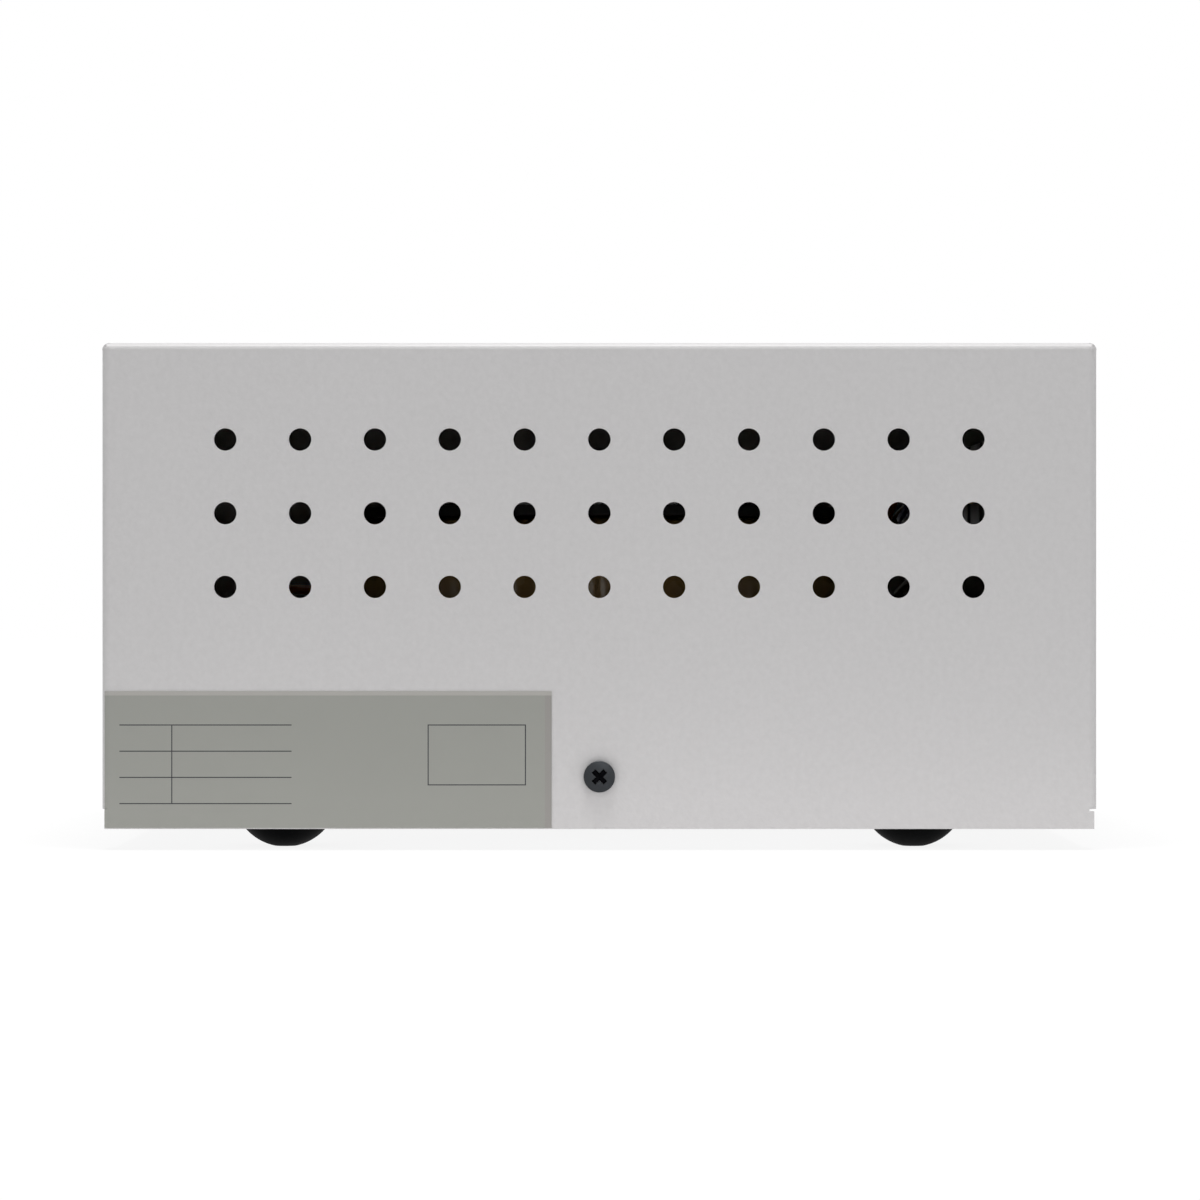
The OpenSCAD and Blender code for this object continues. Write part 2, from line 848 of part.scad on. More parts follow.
module terminal_block() {
  color("ivory") translate([block_x, block_y, deck_z]) difference() {
    union() {
      translate([-block_w / 2, -block_l / 2, 0]) cube([block_w, block_l, block_base_h]);
      for (i = [0:block_ways])
        translate([-block_w / 2, (i - block_ways / 2) * block_pitch - block_rib_t / 2, 0])
          cube([block_w, block_rib_t, block_rib_h]);
    }
    for (y = block_screw_ys()) {
      translate([0, y - block_y, -cut])
        cylinder(d = small_screw_d + 2 * hole_gap, h = block_base_h + 2 * cut);
      translate([0, y - block_y, block_base_h - block_screw_sink])
        cylinder(d = small_head_d + 2 * hole_gap, h = block_screw_sink + cut);
    }
    for (p = terminal_places())
      translate([p[0] - block_x, p[1] - block_y, block_base_h - terminal_screw_l])
        cylinder(d = small_screw_d + hole_gap, h = terminal_screw_l + cut);
  }
}

function terminal_places() = [
  for (i = [0:block_ways - 1], x = [-1, 1])
    [block_x + x * terminal_x, block_y + (i + (1 - block_ways) / 2) * block_pitch]
];

module terminal_screws() {
  color("gold") for (p = terminal_places())
    translate([p[0], p[1], deck_z + block_base_h])
      pan_screw(small_screw_d, terminal_screw_l, small_head_d, small_head_h);
}

module block_screws() {
  color("silver") for (y = block_screw_ys())
    translate([block_x, y, deck_z + block_base_h - block_screw_sink])
      pan_screw(small_screw_d, block_base_h - block_screw_sink + chassis_t, small_head_d, small_head_h);
}

// Earth stud

module earth_stud() {
  color("gold") translate([earth_x, earth_y, deck_z]) {
    cylinder(d = earth_flange_d, h = earth_flange_t);
    cylinder(d = stud_d, h = earth_stud_h);
  }
}

module earth_nut() {
  color("silver") translate([earth_x, earth_y, deck_z + earth_flange_t + 2 * (lug_t + layer_gap)])
    hex_nut(stud_nut_af, stud_nut_h, stud_d + hole_gap);
}

// Power switch

module switch_pivot() {
  on_front(switch_y, switch_z) translate([0, 0, pivot_out]) children();
}

module switch_housing() {
  body_h = switch_cut_h - 2 * cut_gap;
  body_w = switch_cut_w - 2 * cut_gap;
  well_h = 2 * (rocker_r + rocker_gap);
  well_w = rocker_w + 2 * rocker_gap;
  well_depth = rocker_well + switch_rim_t - pivot_out;
  pin_l = well_w + 2 * rocker_pin_l;
  color("black") on_front(switch_y, switch_z) difference() {
    union() {
      linear_extrude(switch_rim_t)
        round_rect(switch_cut_h + 2 * switch_rim, switch_cut_w + 2 * switch_rim, switch_rim_r);
      translate([0, 0, -switch_depth / 2])
        cube([body_h, body_w, switch_depth], center = true);
    }
    translate([-well_h / 2, -well_w / 2, pivot_out - rocker_well])
      cube([well_h, well_w, well_depth + cut]);
    translate([0, 0, pivot_out]) rotate([90, 0, 0])
      cylinder(r = rocker_pin_r + rocker_pin_gap, h = pin_l, center = true);
  }
}

// Rocker that pivots on its own two pins, at rest with its lower half pressed in
module switch_rocker() {
  end_rise = rocker_rise + rocker_r * tan(rocker_angle);
  color("red") switch_pivot() rotate([0, -rocker_angle, 0]) rotate([90, 0, 0]) {
    linear_extrude(rocker_w, center = true) intersection() {
      circle(rocker_r);
      polygon([
        [-rocker_r, -rocker_below], [rocker_r, -rocker_below], [rocker_r, end_rise],
        [0, rocker_rise], [-rocker_r, end_rise]
      ]);
    }
    cylinder(r = rocker_pin_r, h = rocker_w + 2 * rocker_pin_l, center = true);
  }
}

// Pilot lamp

module lamp_body() {
  color("silver") on_front(switch_y, lamp_z) difference() {
    union() {
      cylinder(d = lamp_rim_d, h = lamp_rim_t);
      translate([0, 0, -lamp_body_l]) cylinder(d = lamp_hole_d - 2 * cut_gap, h = lamp_body_l);
    }
    translate([0, 0, lamp_rim_t - lamp_bore_l]) cylinder(d = lamp_bore_d, h = lamp_bore_l + cut);
  }
}

module lamp_lens() {
  r = lamp_bore_d / 2 - lamp_lens_gap;
  crown_r = (pow(r, 2) + pow(lamp_lens_crown, 2)) / (2 * lamp_lens_crown);
  h = lamp_bore_l + lamp_lens_out;
  color("limegreen") on_front(switch_y, lamp_z) translate([0, 0, lamp_rim_t - lamp_bore_l])
    rotate_extrude() intersection() {
      square([r, h]);
      union() {
        square([r, h - lamp_lens_crown]);
        translate([0, h - crown_r]) circle(crown_r);
      }
    }
}

module lamp_nut() {
  color("silver") on_front(switch_y, lamp_z) translate([0, 0, -panel_t - lamp_nut_h])
    hex_nut(lamp_nut_af, lamp_nut_h, lamp_hole_d - cut_gap);
}

// Mains inlet

// The three pins' places, in the inlet's and the outlets' own frames
pin_places = [[-pin_offset, -pin_spread], [-pin_offset, pin_spread], [pin_offset, 0]];

module inlet_body() {
  wall = 2 * inlet_wall;
  color("black") on_rear(inlet_y, inlet_z) difference() {
    union() {
      linear_extrude(inlet_flange_t)
        round_rect(inlet_flange_h, inlet_flange_w, inlet_flange_r);
      translate([0, 0, -inlet_body_back]) rotate([0, 0, -90]) linear_extrude(inlet_body_back)
        cut_corner_rect(inlet_cavity_w + wall, inlet_cavity_h + wall, inlet_chamfer);
    }
    translate([0, 0, inlet_flange_t - inlet_cavity_depth]) rotate([0, 0, -90])
      linear_extrude(inlet_cavity_depth + cut)
        cut_corner_rect(inlet_cavity_w, inlet_cavity_h, inlet_chamfer);
    for (p = pin_places)
      translate([p[0], p[1], -inlet_body_back]) cube([pin_h, pin_w, 2 * inlet_back_t + cut], center = true);
    for (side = [-1, 1])
      translate([0, side * inlet_screw_spacing / 2, -cut])
        cylinder(d = small_screw_d + 2 * hole_gap, h = inlet_flange_t + 2 * cut);
  }
}

module inlet_pins() {
  pin_l = inlet_body_back + inlet_flange_t - pin_back;
  color("silver") on_rear(inlet_y, inlet_z) for (p = pin_places)
    translate([p[0], p[1], -inlet_body_back]) {
      translate([-pin_h / 2, -pin_w / 2, 0]) cube([pin_h, pin_w, pin_l]);
      translate([-tab_w / 2, -tab_t / 2, -tab_l]) cube([tab_w, tab_t, tab_l]);
    }
}

module inlet_screws() {
  color("silver") for (side = [-1, 1])
    on_rear(inlet_y + side * inlet_screw_spacing / 2, inlet_z) translate([0, 0, inlet_flange_t])
      pan_screw(small_screw_d, inlet_flange_t + panel_t, small_head_d, small_head_h);
}

// Outlets

module outlet(i) {
  moat_w = outlet_island_w + 2 * outlet_moat;
  moat_h = outlet_island_h + 2 * outlet_moat;
  chamber_l = outlet_depth - slot_mouth;
  color("black") on_rear(outlet_ys[i], outlet_z) difference() {
    union() {
      linear_extrude(outlet_rim_t) round_rect(outlet_rim_h, outlet_rim_w, outlet_rim_r);
      translate([0, 0, -outlet_body_back / 2])
        cube([outlet_outer_h, outlet_outer_w, outlet_body_back], center = true);
    }
    translate([0, 0, outlet_rim_t - outlet_depth]) rotate([0, 0, -90])
      linear_extrude(outlet_depth + cut) difference() {
        cut_corner_rect(moat_w, moat_h, outlet_chamfer);
        cut_corner_rect(outlet_island_w, outlet_island_h, outlet_chamfer);
      }
    for (p = pin_places)
      translate([p[0], p[1], outlet_rim_t]) {
        translate([-slot_h / 2, -slot_w / 2, -slot_mouth]) cube([slot_h, slot_w, slot_mouth + cut]);
        translate([-chamber_h / 2, -chamber_w / 2, -outlet_depth]) cube([chamber_h, chamber_w, chamber_l]);
        translate([-tab_w / 2, -tab_t / 2, -outlet_depth - outlet_back_t - cut])
          cube([tab_w, tab_t, outlet_back_t + 2 * cut]);
      }
  }
}

module outlet_1() outlet(0);
module outlet_2() outlet(1);
module outlet_3() outlet(2);
module outlet_4() outlet(3);

// A contact has a base in the chamber, a leaf on each side of the slot and a tab behind
module outlet_contact() {
  h = chamber_h - 2 * leaf_gap;
  w = chamber_w - 2 * leaf_gap;
  leaf_l = outlet_depth - slot_mouth - leaf_gap;
  translate([-h / 2, -w / 2, 0]) cube([h, w, leaf_t]);
  for (side = [-1, 1])
    translate([-h / 2, side * (w - leaf_t) / 2 - leaf_t / 2, 0]) cube([h, leaf_t, leaf_l]);
  translate([-tab_w / 2, -tab_t / 2, -outlet_back_t - tab_l])
    cube([tab_w, tab_t, outlet_back_t + tab_l]);
}

module outlet_contacts() {
  color("gold") for (y = outlet_ys)
    on_rear(y, outlet_z) for (p = pin_places)
      translate([p[0], p[1], outlet_rim_t - outlet_depth]) outlet_contact();
}

// Voltage selector

module selector_body() {
  slot_l = selector_slider_l + selector_travel + 2 * selector_gap;
  slot_h = selector_slider_h + 2 * selector_gap;
  color("black") on_rear(selector_y, selector_z) difference() {
    union() {
      linear_extrude(selector_rim_t) round_rect(selector_rim_h, selector_rim_w, selector_rim_r);
      translate([-selector_body_h / 2, -selector_body_w / 2, -selector_body_back])
        cube([selector_body_h, selector_body_w, selector_body_back]);
    }
    translate([-slot_h / 2, -slot_l / 2, selector_rim_t - selector_well])
      cube([slot_h, slot_l, selector_well + cut]);
  }
}

module selector_slider() {
  low = selector_rim_t - selector_well + selector_gap;
  h = selector_well - selector_gap - selector_sink;
  color("red") on_rear(selector_y, selector_z) translate([0, selector_travel / 2, low]) difference() {
    translate([-selector_slider_h / 2, -selector_slider_l / 2, 0])
      cube([selector_slider_h, selector_slider_l, h]);
    translate([-selector_slider_h / 2 - cut, -selector_groove_w / 2, h - selector_groove_depth])
      cube([selector_slider_h + 2 * cut, selector_groove_w, selector_groove_depth + cut]);
  }
}

// Circuit breakers

module breaker(y) {
  color("black") on_rear(y, breaker_z) difference() {
    union() {
      translate([-breaker_body_h / 2, -breaker_body_w / 2, -panel_t - breaker_body_back])
        cube([breaker_body_h, breaker_body_w, breaker_body_back]);
      translate([0, 0, -panel_t - cut])
        cylinder(d = breaker_neck_d, h = panel_t + cut + breaker_neck_out);
    }
    translate([0, 0, breaker_neck_out - reset_button_in - hole_gap])
      cylinder(d = reset_button_d + 2 * reset_button_gap, h = reset_button_in + 2 * cut);
  }
}

module input_breaker() breaker(input_breaker_y);
module output_breaker() breaker(output_breaker_y);

module reset_button(y) {
  color("white") on_rear(y, breaker_z) translate([0, 0, breaker_neck_out - reset_button_in])
    cylinder(d = reset_button_d, h = reset_button_in + reset_button_out);
}

module input_reset_button() reset_button(input_breaker_y);
module output_reset_button() reset_button(output_breaker_y);

module breaker_nuts() {
  color("silver") for (y = [input_breaker_y, output_breaker_y])
    on_rear(y, breaker_z) hex_nut(breaker_nut_af, breaker_nut_h, breaker_neck_d + hole_gap);
}

// Flat tabs of the switch, the selector and the breakers

module spade_tab(w) {
  translate([-w / 2, -tab_t / 2, -tab_l]) cube([w, tab_t, tab_l]);
}

module spade_tabs() {
  color("gold") {
    on_front(switch_y, switch_z) for (x = [-1, 1], y = [-1, 1])
      translate([x * switch_tab_x, y * switch_tab_y, -switch_depth]) spade_tab(tab_w);
    for (y = [input_breaker_y, output_breaker_y])
      on_rear(y, breaker_z) for (x = [-1, 1])
        translate([x * breaker_tab_x, 0, -panel_t - breaker_body_back]) spade_tab(tab_w);
    on_rear(selector_y, selector_z) for (x = [-1, 1], y = [-1, 1])
      translate([x * selector_tab_x, y * selector_tab_y, -selector_body_back])
        spade_tab(selector_tab_w);
  }
}

// Leads: round wires along smooth routes that are held at both ends

function unit(v) = v / norm(v);
function at(p, i) = p[min(max(i, 0), len(p) - 1)];

// Point at share t between route points i and i + 1, on a smooth curve through them all
function route_point(p, i, t) =
  let (
    b = at(p, i), c = at(p, i + 1), l = norm(c - b),
    m = unit(c - at(p, i - 1)) * l, n = unit(at(p, i + 2) - b) * l
  )
  b + (3 * t * t - 2 * t * t * t) * (c - b) + (t - 2 * t * t + t * t * t) * m + (t * t * t - t * t) * n;

function route(p) = [
  for (i = [0:len(p) - 2], k = [0:lead_steps - 1]) route_point(p, i, k / lead_steps),
  p[len(p) - 1]
];

function tangents(c) = [for (i = [0:len(c) - 1]) unit(at(c, i + 1) - at(c, i - 1))];

// Side vectors square to the route, each carried on from the one before without twist
function carry(ts, us) = len(us) == len(ts) ? us :
  let (t = ts[len(us)], u = us[len(us) - 1])
  carry(ts, concat(us, [unit(u - (u * t) * t)]));

function first_side(t) = unit(cross(t, abs(t[2]) < abs(t[0]) + abs(t[1]) ? [0, 0, 1] : [1, 0, 0]));

module lead(p) {
  c = route(p);
  ts = tangents(c);
  us = carry(ts, [first_side(ts[0])]);
  n = lead_sides;
  last = len(c) - 1;
  rings = [
    for (i = [0:last], j = [0:n - 1])
      let (a = 360 * j / n)
      c[i] + lead_r * (cos(a) * us[i] + sin(a) * cross(ts[i], us[i]))
  ];
  walls = [
    for (i = [0:last - 1], j = [0:n - 1])
      let (k = (j + 1) % n)
      each [[i * n + j, (i + 1) * n + j, i * n + k], [i * n + k, (i + 1) * n + j, (i + 1) * n + k]]
  ];
  ends = [
    for (j = [1:n - 2]) each [[0, j, j + 1], [last * n, last * n + j + 1, last * n + j]]
  ];
  polyhedron(rings, concat(walls, ends));
}

// Lead between two near ends, straight off each along its vector
module local_lead(from, from_v, route, to, to_v) {
  lead(concat(from_tip(from, from_v), between(from, to, route), to_tip(to, to_v)));
}

// Ends of the tabs and screws that the leads meet
inlet_tip_x = panel_x - inlet_body_back - tab_l - lead_clear;
outlet_tip_x = panel_x - outlet_body_back - tab_l - lead_clear;
breaker_tip_x = panel_x - panel_t - breaker_body_back - tab_l - lead_clear;
selector_tip_x = panel_x - selector_body_back - tab_l - lead_clear;
switch_tip_x = lead_clear + tab_l + switch_depth - panel_x;
terminal_reach = terminal_x + small_head_d / 2 + lead_clear;
terminal_z = deck_z + block_base_h + lead_r + lead_clear;
pole_z = outlet_z - pin_offset;
outlet_earth_z = outlet_z + pin_offset;
last_outlet_y = outlet_ys[outlet_count - 1];
// Half the distance between two leads that share a tab
pair_half = 1.6;

// A lead's last two points, straight off what it meets, along the vector v
function from_tip(tip, v) = [tip, tip + v];
function to_tip(tip, v) = [tip + v, tip];
inward = [-lead_stub, 0, 0];
rearward = [lead_stub, 0, 0];
function terminal_tip(way, side) =
  [block_x + side * terminal_reach, terminal_places()[2 * way][1], terminal_z];

// The side run of the two long leads
run_inset = 7.8;
run_lift = 2;
run_step = 3.1;
run_y = inner_w - run_inset;
run_z = floor_z + side_flange_h + run_lift;
run_xs = [40, 20, -20, -40];
function side_run(z) = [for (x = run_xs) [x, run_y, z]];
function round_ring(angles, route) = [
  for (i = [0:len(route) - 1])
    let (r = toroid_r + route[i][0]) [r * cos(angles[i]), r * sin(angles[i]), height(route[i][1])]
];
function between(from, to, route) = [
  for (i = [0:len(route) - 1]) from + (to - from) * (i + 1) / (len(route) + 1) + route[i]
];

// Routes round the wound ring: angles about its axis, with distances from it and heights on the panels
line_in_angles = [-28.1, -24.3, -15, 0, 14, 18.6];
line_in_route = [[23.3, 44.4], [19.3, 56.4], [13.6, 62.4], [9.3, 63.4], [8, 59.4], [8.1, 52.4]];
line_run_in_angles = [24.5, 33, 45, 56.6];
line_run_in_route = [[9, 29.4], [12.7, 25.4], [16.3, 24.4], [19.1, 24.4]];
line_run_out_angles = [123.4, 135.8, 151.9, 167.6, -173.7, -159.3, -152.5];
line_run_out_route = [
  [19.1, 24.4], [17.7, 26.4], [14.8, 35.4], [10.5, 46.4], [8.8, 53.4], [13.5, 55.4], [17, 54.4]
];
line_block_angles = [-151.9, -159, -173.6, 172.3, 167.3];
line_block_route = [[17.1, 30.4], [12.1, 21.4], [6.9, 17.4], [7.1, 15.4], [8, 11.9]];
neutral_run_in_angles = [-34.7, -28.8, -17.3, 0, 22, 38.1, 54.4];
neutral_run_in_route = [
  [29.8, 32.4], [21.1, 24.4], [11.6, 21.3], [6.3, 21.3], [7.9, 21.3], [11.3, 21.3], [16.9, 21.3]
];
neutral_run_out_angles = [125.6, 140, 156.4, 176.2, -163.5, -150.8, -146.2];
neutral_run_out_route = [
  [16.9, 21.3], [13.8, 21.4], [12.2, 26.4], [8.5, 37.4], [9.1, 44.4], [15.8, 46.4], [21.4, 49.4]
];
neutral_block_angles = [-146.3, -155.1, -170.2, 174.7, 164.4];
neutral_block_route = [[21.9, 28.4], [12.1, 16.4], [5.1, 9.4], [4.2, 7.9], [6.6, 7.6]];
// Offsets of a route's middle points from evenly spaced points on the line between its ends
line_out_route = [[-8.5, -0.1, -4.5], [-10.4, 0.8, -0.3], [-8.8, 0.9, 1.8]];
earth_in_route = [[-9.1, 2.3, 4.4], [-7.4, 5.2, 2.3], [-2.3, 7, -0.7], [0.9, 6.4, -3.8]];
earth_out_route = [
  [0.9, -6.8, -7.1], [-1.2, -10.7, -3.6], [-5.3, -12.4, 9.9], [-8.9, -9, 22.4], [-9, -3.6, 24],
  [-7.6, -0.5, 15]
];
feed_route = [[0.5, 7.5, 4.3], [-0.3, 3.8, 1.8]];
return_route = [[1.9, 6.2, -3.3], [5.3, 7.5, 2.7], [3.6, 6.9, 8.8], [-1, 3.7, 6.8]];
// Places in X and Z of the middle points from the terminal's own
tap_route = [[11, 52], [2, 49], [-3.5, 36], [-5.5, 18]];

// Loops that join neighbouring outlets, bowed in by depth and up by rise
module outlet_loops(y_off, z, rise, depth, half) {
  for (i = [0:outlet_count - 2]) {
    y = outlet_ys[i] + y_off;
    from = [outlet_tip_x, y, z + half];
    to = [outlet_tip_x, y + outlet_pitch, z - half];
    lead([
      from, from + [-loop_stub, 0, 0], from + [loop_side - depth, loop_side, rise / 2],
      (from + to) / 2 + [-depth, 0, rise], to + [loop_side - depth, -loop_side, rise / 2],
      to + [-loop_stub, 0, 0], to
    ]);
  }
}

module line_leads() {
  color("saddlebrown") {
    lead(concat(
      from_tip([inlet_tip_x, inlet_y + pin_spread, inlet_z - pin_offset], inward),
      round_ring(line_in_angles, line_in_route),
      to_tip([breaker_tip_x, input_breaker_y, breaker_z + breaker_tab_x], inward)
    ));
    lead(concat(
      from_tip([breaker_tip_x, input_breaker_y, breaker_z - breaker_tab_x], inward),
      round_ring(line_run_in_angles, line_run_in_route), side_run(run_z),
      round_ring(line_run_out_angles, line_run_out_route),
      to_tip([switch_tip_x, switch_y + switch_tab_y, switch_z + switch_tab_x], rearward)
    ));
    lead(concat(
      from_tip([switch_tip_x, switch_y + switch_tab_y, switch_z - switch_tab_x], rearward),
      round_ring(line_block_angles, line_block_route), to_tip(terminal_tip(0, 1), rearward)
    ));
    local_lead(
      [breaker_tip_x, output_breaker_y, breaker_z + breaker_tab_x], inward, line_out_route,
      [outlet_tip_x, last_outlet_y + pin_spread, pole_z - pair_half], inward
    );
    outlet_loops(pin_spread, pole_z, loop_rise, loop_depth, -pair_half);
  }
}

module neutral_leads() {
  color("steelblue") {
    lead(concat(
      from_tip([inlet_tip_x, inlet_y - pin_spread, inlet_z - pin_offset], inward),
      round_ring(neutral_run_in_angles, neutral_run_in_route), side_run(run_z - run_step),
      round_ring(neutral_run_out_angles, neutral_run_out_route),
      to_tip([switch_tip_x, switch_y - switch_tab_y, switch_z + switch_tab_x], rearward)
    ));
    lead(concat(
      from_tip([switch_tip_x, switch_y - switch_tab_y, switch_z - switch_tab_x], rearward),
      round_ring(neutral_block_angles, neutral_block_route), to_tip(terminal_tip(1, 1), rearward)
    ));
    outlet_loops(-pin_spread, pole_z, -loop_rise, loop_depth, pair_half);
  }
}

// Ring lug round the earth stud, with its barrel towards -X
module lug() {
  difference() {
    union() {
      cylinder(d = lug_d, h = lug_t);
      translate([-lug_barrel_x, -lead_r, 0]) cube([lug_barrel_x, 2 * lead_r, lug_t]);
      translate([-lug_barrel_x, -lead_r, 0]) cube([lug_barrel_l, 2 * lead_r, 2 * lead_r]);
    }
    translate([0, 0, -cut]) cylinder(d = stud_d + 2 * hole_gap, h = lug_t + 2 * cut);
  }
}

module earth_leads() {
  lug_1_z = deck_z + earth_flange_t;
  lug_2_z = lug_1_z + lug_t + layer_gap;
  reach = lug_barrel_x + lead_clear;
  color("yellowgreen") {
    translate([earth_x, earth_y, lug_1_z]) rotate([0, 0, -90]) lug();
    translate([earth_x, earth_y, lug_2_z]) rotate([0, 0, 90]) lug();
    local_lead(
      [inlet_tip_x, inlet_y, inlet_z + pin_offset], inward, earth_in_route,
      [earth_x, earth_y + reach, lug_1_z + lead_r], [0, lead_stub, 0]
    );
    local_lead(
      [earth_x, earth_y - reach, lug_2_z + lead_r], [0, -loop_stub, 0], earth_out_route,
      [outlet_tip_x, outlet_ys[0], outlet_earth_z - pair_half], inward
    );
    outlet_loops(0, outlet_earth_z, loop_rise, loop_depth / 2, pair_half);
  }
}

// Where a winding's end leaves the wrap, at an angle about the ring's axis
start_r = toroid_r + lead_clear;
function tap(a, z) = [start_r * cos(a), start_r * sin(a), z];
function outward(a) = lead_stub * [cos(a), sin(a), 0];

// Ends of the windings: four to the terminal block, four to the selector and two to the output
module winding_leads() {
  color("orange") {
    for (i = [0:3])
      let (a = tap_angle - tap_angle_step * i, tip = terminal_tip(block_ways - 4 + i, -1))
        lead(concat(
          from_tip(tap(a, tap_z), outward(a)),
          [for (q = tap_route) tip + [q[0], 0, q[1]]],
          to_tip(tip, inward)
        ));
    for (x = [-1, 1], y = [-1, 1])
      let (
        lead_y = selector_y + y * selector_tab_y,
        start_x = sqrt(pow(start_r, 2) - pow(lead_y, 2)) + lead_clear
      )
        lead(concat(
          from_tip([start_x, lead_y, selector_z + x * tap_spread], rearward / 2),
          to_tip([selector_tip_x, lead_y, selector_z + x * selector_tab_x], inward)
        ));
    local_lead(
      tap(feed_angle, tap_z - tap_spread), outward(feed_angle), feed_route,
      [breaker_tip_x, output_breaker_y, breaker_z - breaker_tab_x], inward
    );
    local_lead(
      tap(return_angle, tap_z), outward(return_angle), return_route,
      [outlet_tip_x, last_outlet_y - pin_spread, pole_z + pair_half], inward
    );
  }
}

module cable_ties() {
  h = run_step + 2 * (lead_r + tie_gap);
  w = 2 * (lead_r + tie_gap);
  color("ivory") for (side = [-1, 1])
    translate([side * tie_x, run_y, run_z - run_step / 2]) rotate([90, 0, 90])
      linear_extrude(tie_w, center = true) difference() {
        round_rect(w + 2 * tie_t, h + 2 * tie_t, lead_r);
        round_rect(w, h, lead_r - tie_gap);
      }
}

cover();
rating_label();
chassis();
front_panel();
rear_panel();
cover_screws();
cover_nuts();
panel_screws();
panel_nuts();
foot_front_left();
foot_front_right();
foot_rear_left();
foot_rear_right();
foot_studs();
foot_nuts();
lower_pad();
toroid_core();
core_insulation();
primary_winding();
primary_insulation();
electrostatic_shield();
shield_insulation();
secondary_winding();
outer_wrap();
upper_pad();
clamp_dish();
centre_bolt();
centre_washers();
centre_nut();
terminal_block();
terminal_screws();
block_screws();
earth_stud();
earth_nut();
switch_housing();
switch_rocker();
lamp_body();
lamp_lens();
lamp_nut();
inlet_body();
inlet_pins();
inlet_screws();
outlet_1();
outlet_2();
outlet_3();
outlet_4();
outlet_contacts();
selector_body();
selector_slider();
input_breaker();
output_breaker();
input_reset_button();
output_reset_button();
breaker_nuts();
spade_tabs();
line_leads();
neutral_leads();
earth_leads();
winding_leads();
cable_ties();
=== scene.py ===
"""Looks of a desktop isolation transformer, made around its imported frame.

The file is laid out as an add-on: each group of pieces has an operator, and main() calls them in
order. Lengths are in metres, in the frame's own axes: +X from the front panel to the rear panel,
-Y towards the long side with the rating plate, +Z up.
"""
import json
import math

import bmesh
import bpy
import numpy as np
from bpy.props import FloatProperty, FloatVectorProperty, IntProperty, PointerProperty
from bpy.types import Operator, Panel, PropertyGroup
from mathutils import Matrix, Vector


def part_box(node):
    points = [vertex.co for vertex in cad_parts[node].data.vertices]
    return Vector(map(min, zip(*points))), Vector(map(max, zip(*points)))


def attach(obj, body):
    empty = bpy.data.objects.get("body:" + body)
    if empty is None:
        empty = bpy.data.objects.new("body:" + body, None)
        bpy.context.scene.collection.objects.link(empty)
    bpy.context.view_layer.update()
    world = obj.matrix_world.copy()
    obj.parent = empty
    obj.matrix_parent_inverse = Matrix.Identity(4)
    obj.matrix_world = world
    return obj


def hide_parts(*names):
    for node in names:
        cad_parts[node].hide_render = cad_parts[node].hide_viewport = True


bl_info = {
    "name": "Isolation Transformer",
    "version": (1, 0, 0),
    "blender": (4, 5, 0),
    "location": "View3D > Sidebar > Transformer",
    "description": "Finishes and fine pieces of a desktop isolation transformer",
    "category": "Object",
}

MM = 0.001
BEVEL_FROM = 30.0  # Degrees between two faces from which their edge is rounded
SHARP_FROM = 40.0  # Degrees between two faces of a new piece from which their edge stays sharp

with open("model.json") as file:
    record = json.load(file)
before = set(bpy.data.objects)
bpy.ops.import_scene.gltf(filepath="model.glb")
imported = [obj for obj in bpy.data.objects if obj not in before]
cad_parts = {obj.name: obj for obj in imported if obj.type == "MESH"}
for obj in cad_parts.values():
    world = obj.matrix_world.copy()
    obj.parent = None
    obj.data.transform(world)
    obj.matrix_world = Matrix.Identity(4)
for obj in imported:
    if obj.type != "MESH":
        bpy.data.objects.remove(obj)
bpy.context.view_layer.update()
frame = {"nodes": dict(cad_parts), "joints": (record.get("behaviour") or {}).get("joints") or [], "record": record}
nodes = frame["nodes"]
joints = {joint["name"]: joint for joint in frame["joints"]}
slot_of = {s["node"]: s["material_slot"] for s in frame["record"]["subparts"]}
body_of = {n: body for body, names in frame["record"]["behaviour"]["bodies"].items() for n in names}
groups = {}
made_finishes = {}


# Settings


def length(name, description, default):
    """A length property, shown in the scene's own unit."""
    return FloatProperty(name=name, description=description, default=default, min=0.0,
                         unit="LENGTH")


def power(name, description, default):
    """The power of a lamp."""
    return FloatProperty(name=name, description=description, default=default, min=0.0, unit="POWER")


def colour(name, description, default):
    """A linear colour property."""
    return FloatVectorProperty(name=name, description=description, default=default, size=3,
                               min=0.0, max=1.0, subtype="COLOR")


class FinishSettings(PropertyGroup):
    """Colours and textures of the finishes."""
    cover_paint: colour("Cover Paint", "Powder coat of the cover", (0.535, 0.527, 0.529))
    panel_paint: colour("Panel Paint", "Powder coat of the end panels", (0.6, 0.592, 0.575))
    foil: colour("Rating Foil", "Ground of the rating plate", (0.287, 0.291, 0.268))
    foil_edge: colour("Foil Edge", "Light band along the rating plate's top", (0.37, 0.36, 0.34))
    foil_end: colour("Foil End", "Band at the rating plate's end", (0.275, 0.266, 0.252))
    foil_print: colour("Foil Print", "Ruled lines on the rating plate", (0.035, 0.036, 0.042))
    rubber: colour("Rubber", "Feet", (0.0018, 0.002, 0.0022))
    zinc: colour("Zinc", "Plated sheet and fasteners", (0.56, 0.57, 0.58))
    copper: colour("Copper", "Enamelled winding wire", (0.62, 0.27, 0.11))
    tape: colour("Tape", "Outer wrap of the ring", (0.5, 0.31, 0.1))
    grain: length("Paint Grain", "Distance between the lumps of the powder coat", 0.9 * MM)
    grain_depth: length("Grain Depth", "Height of the lumps of the powder coat", 0.022 * MM)


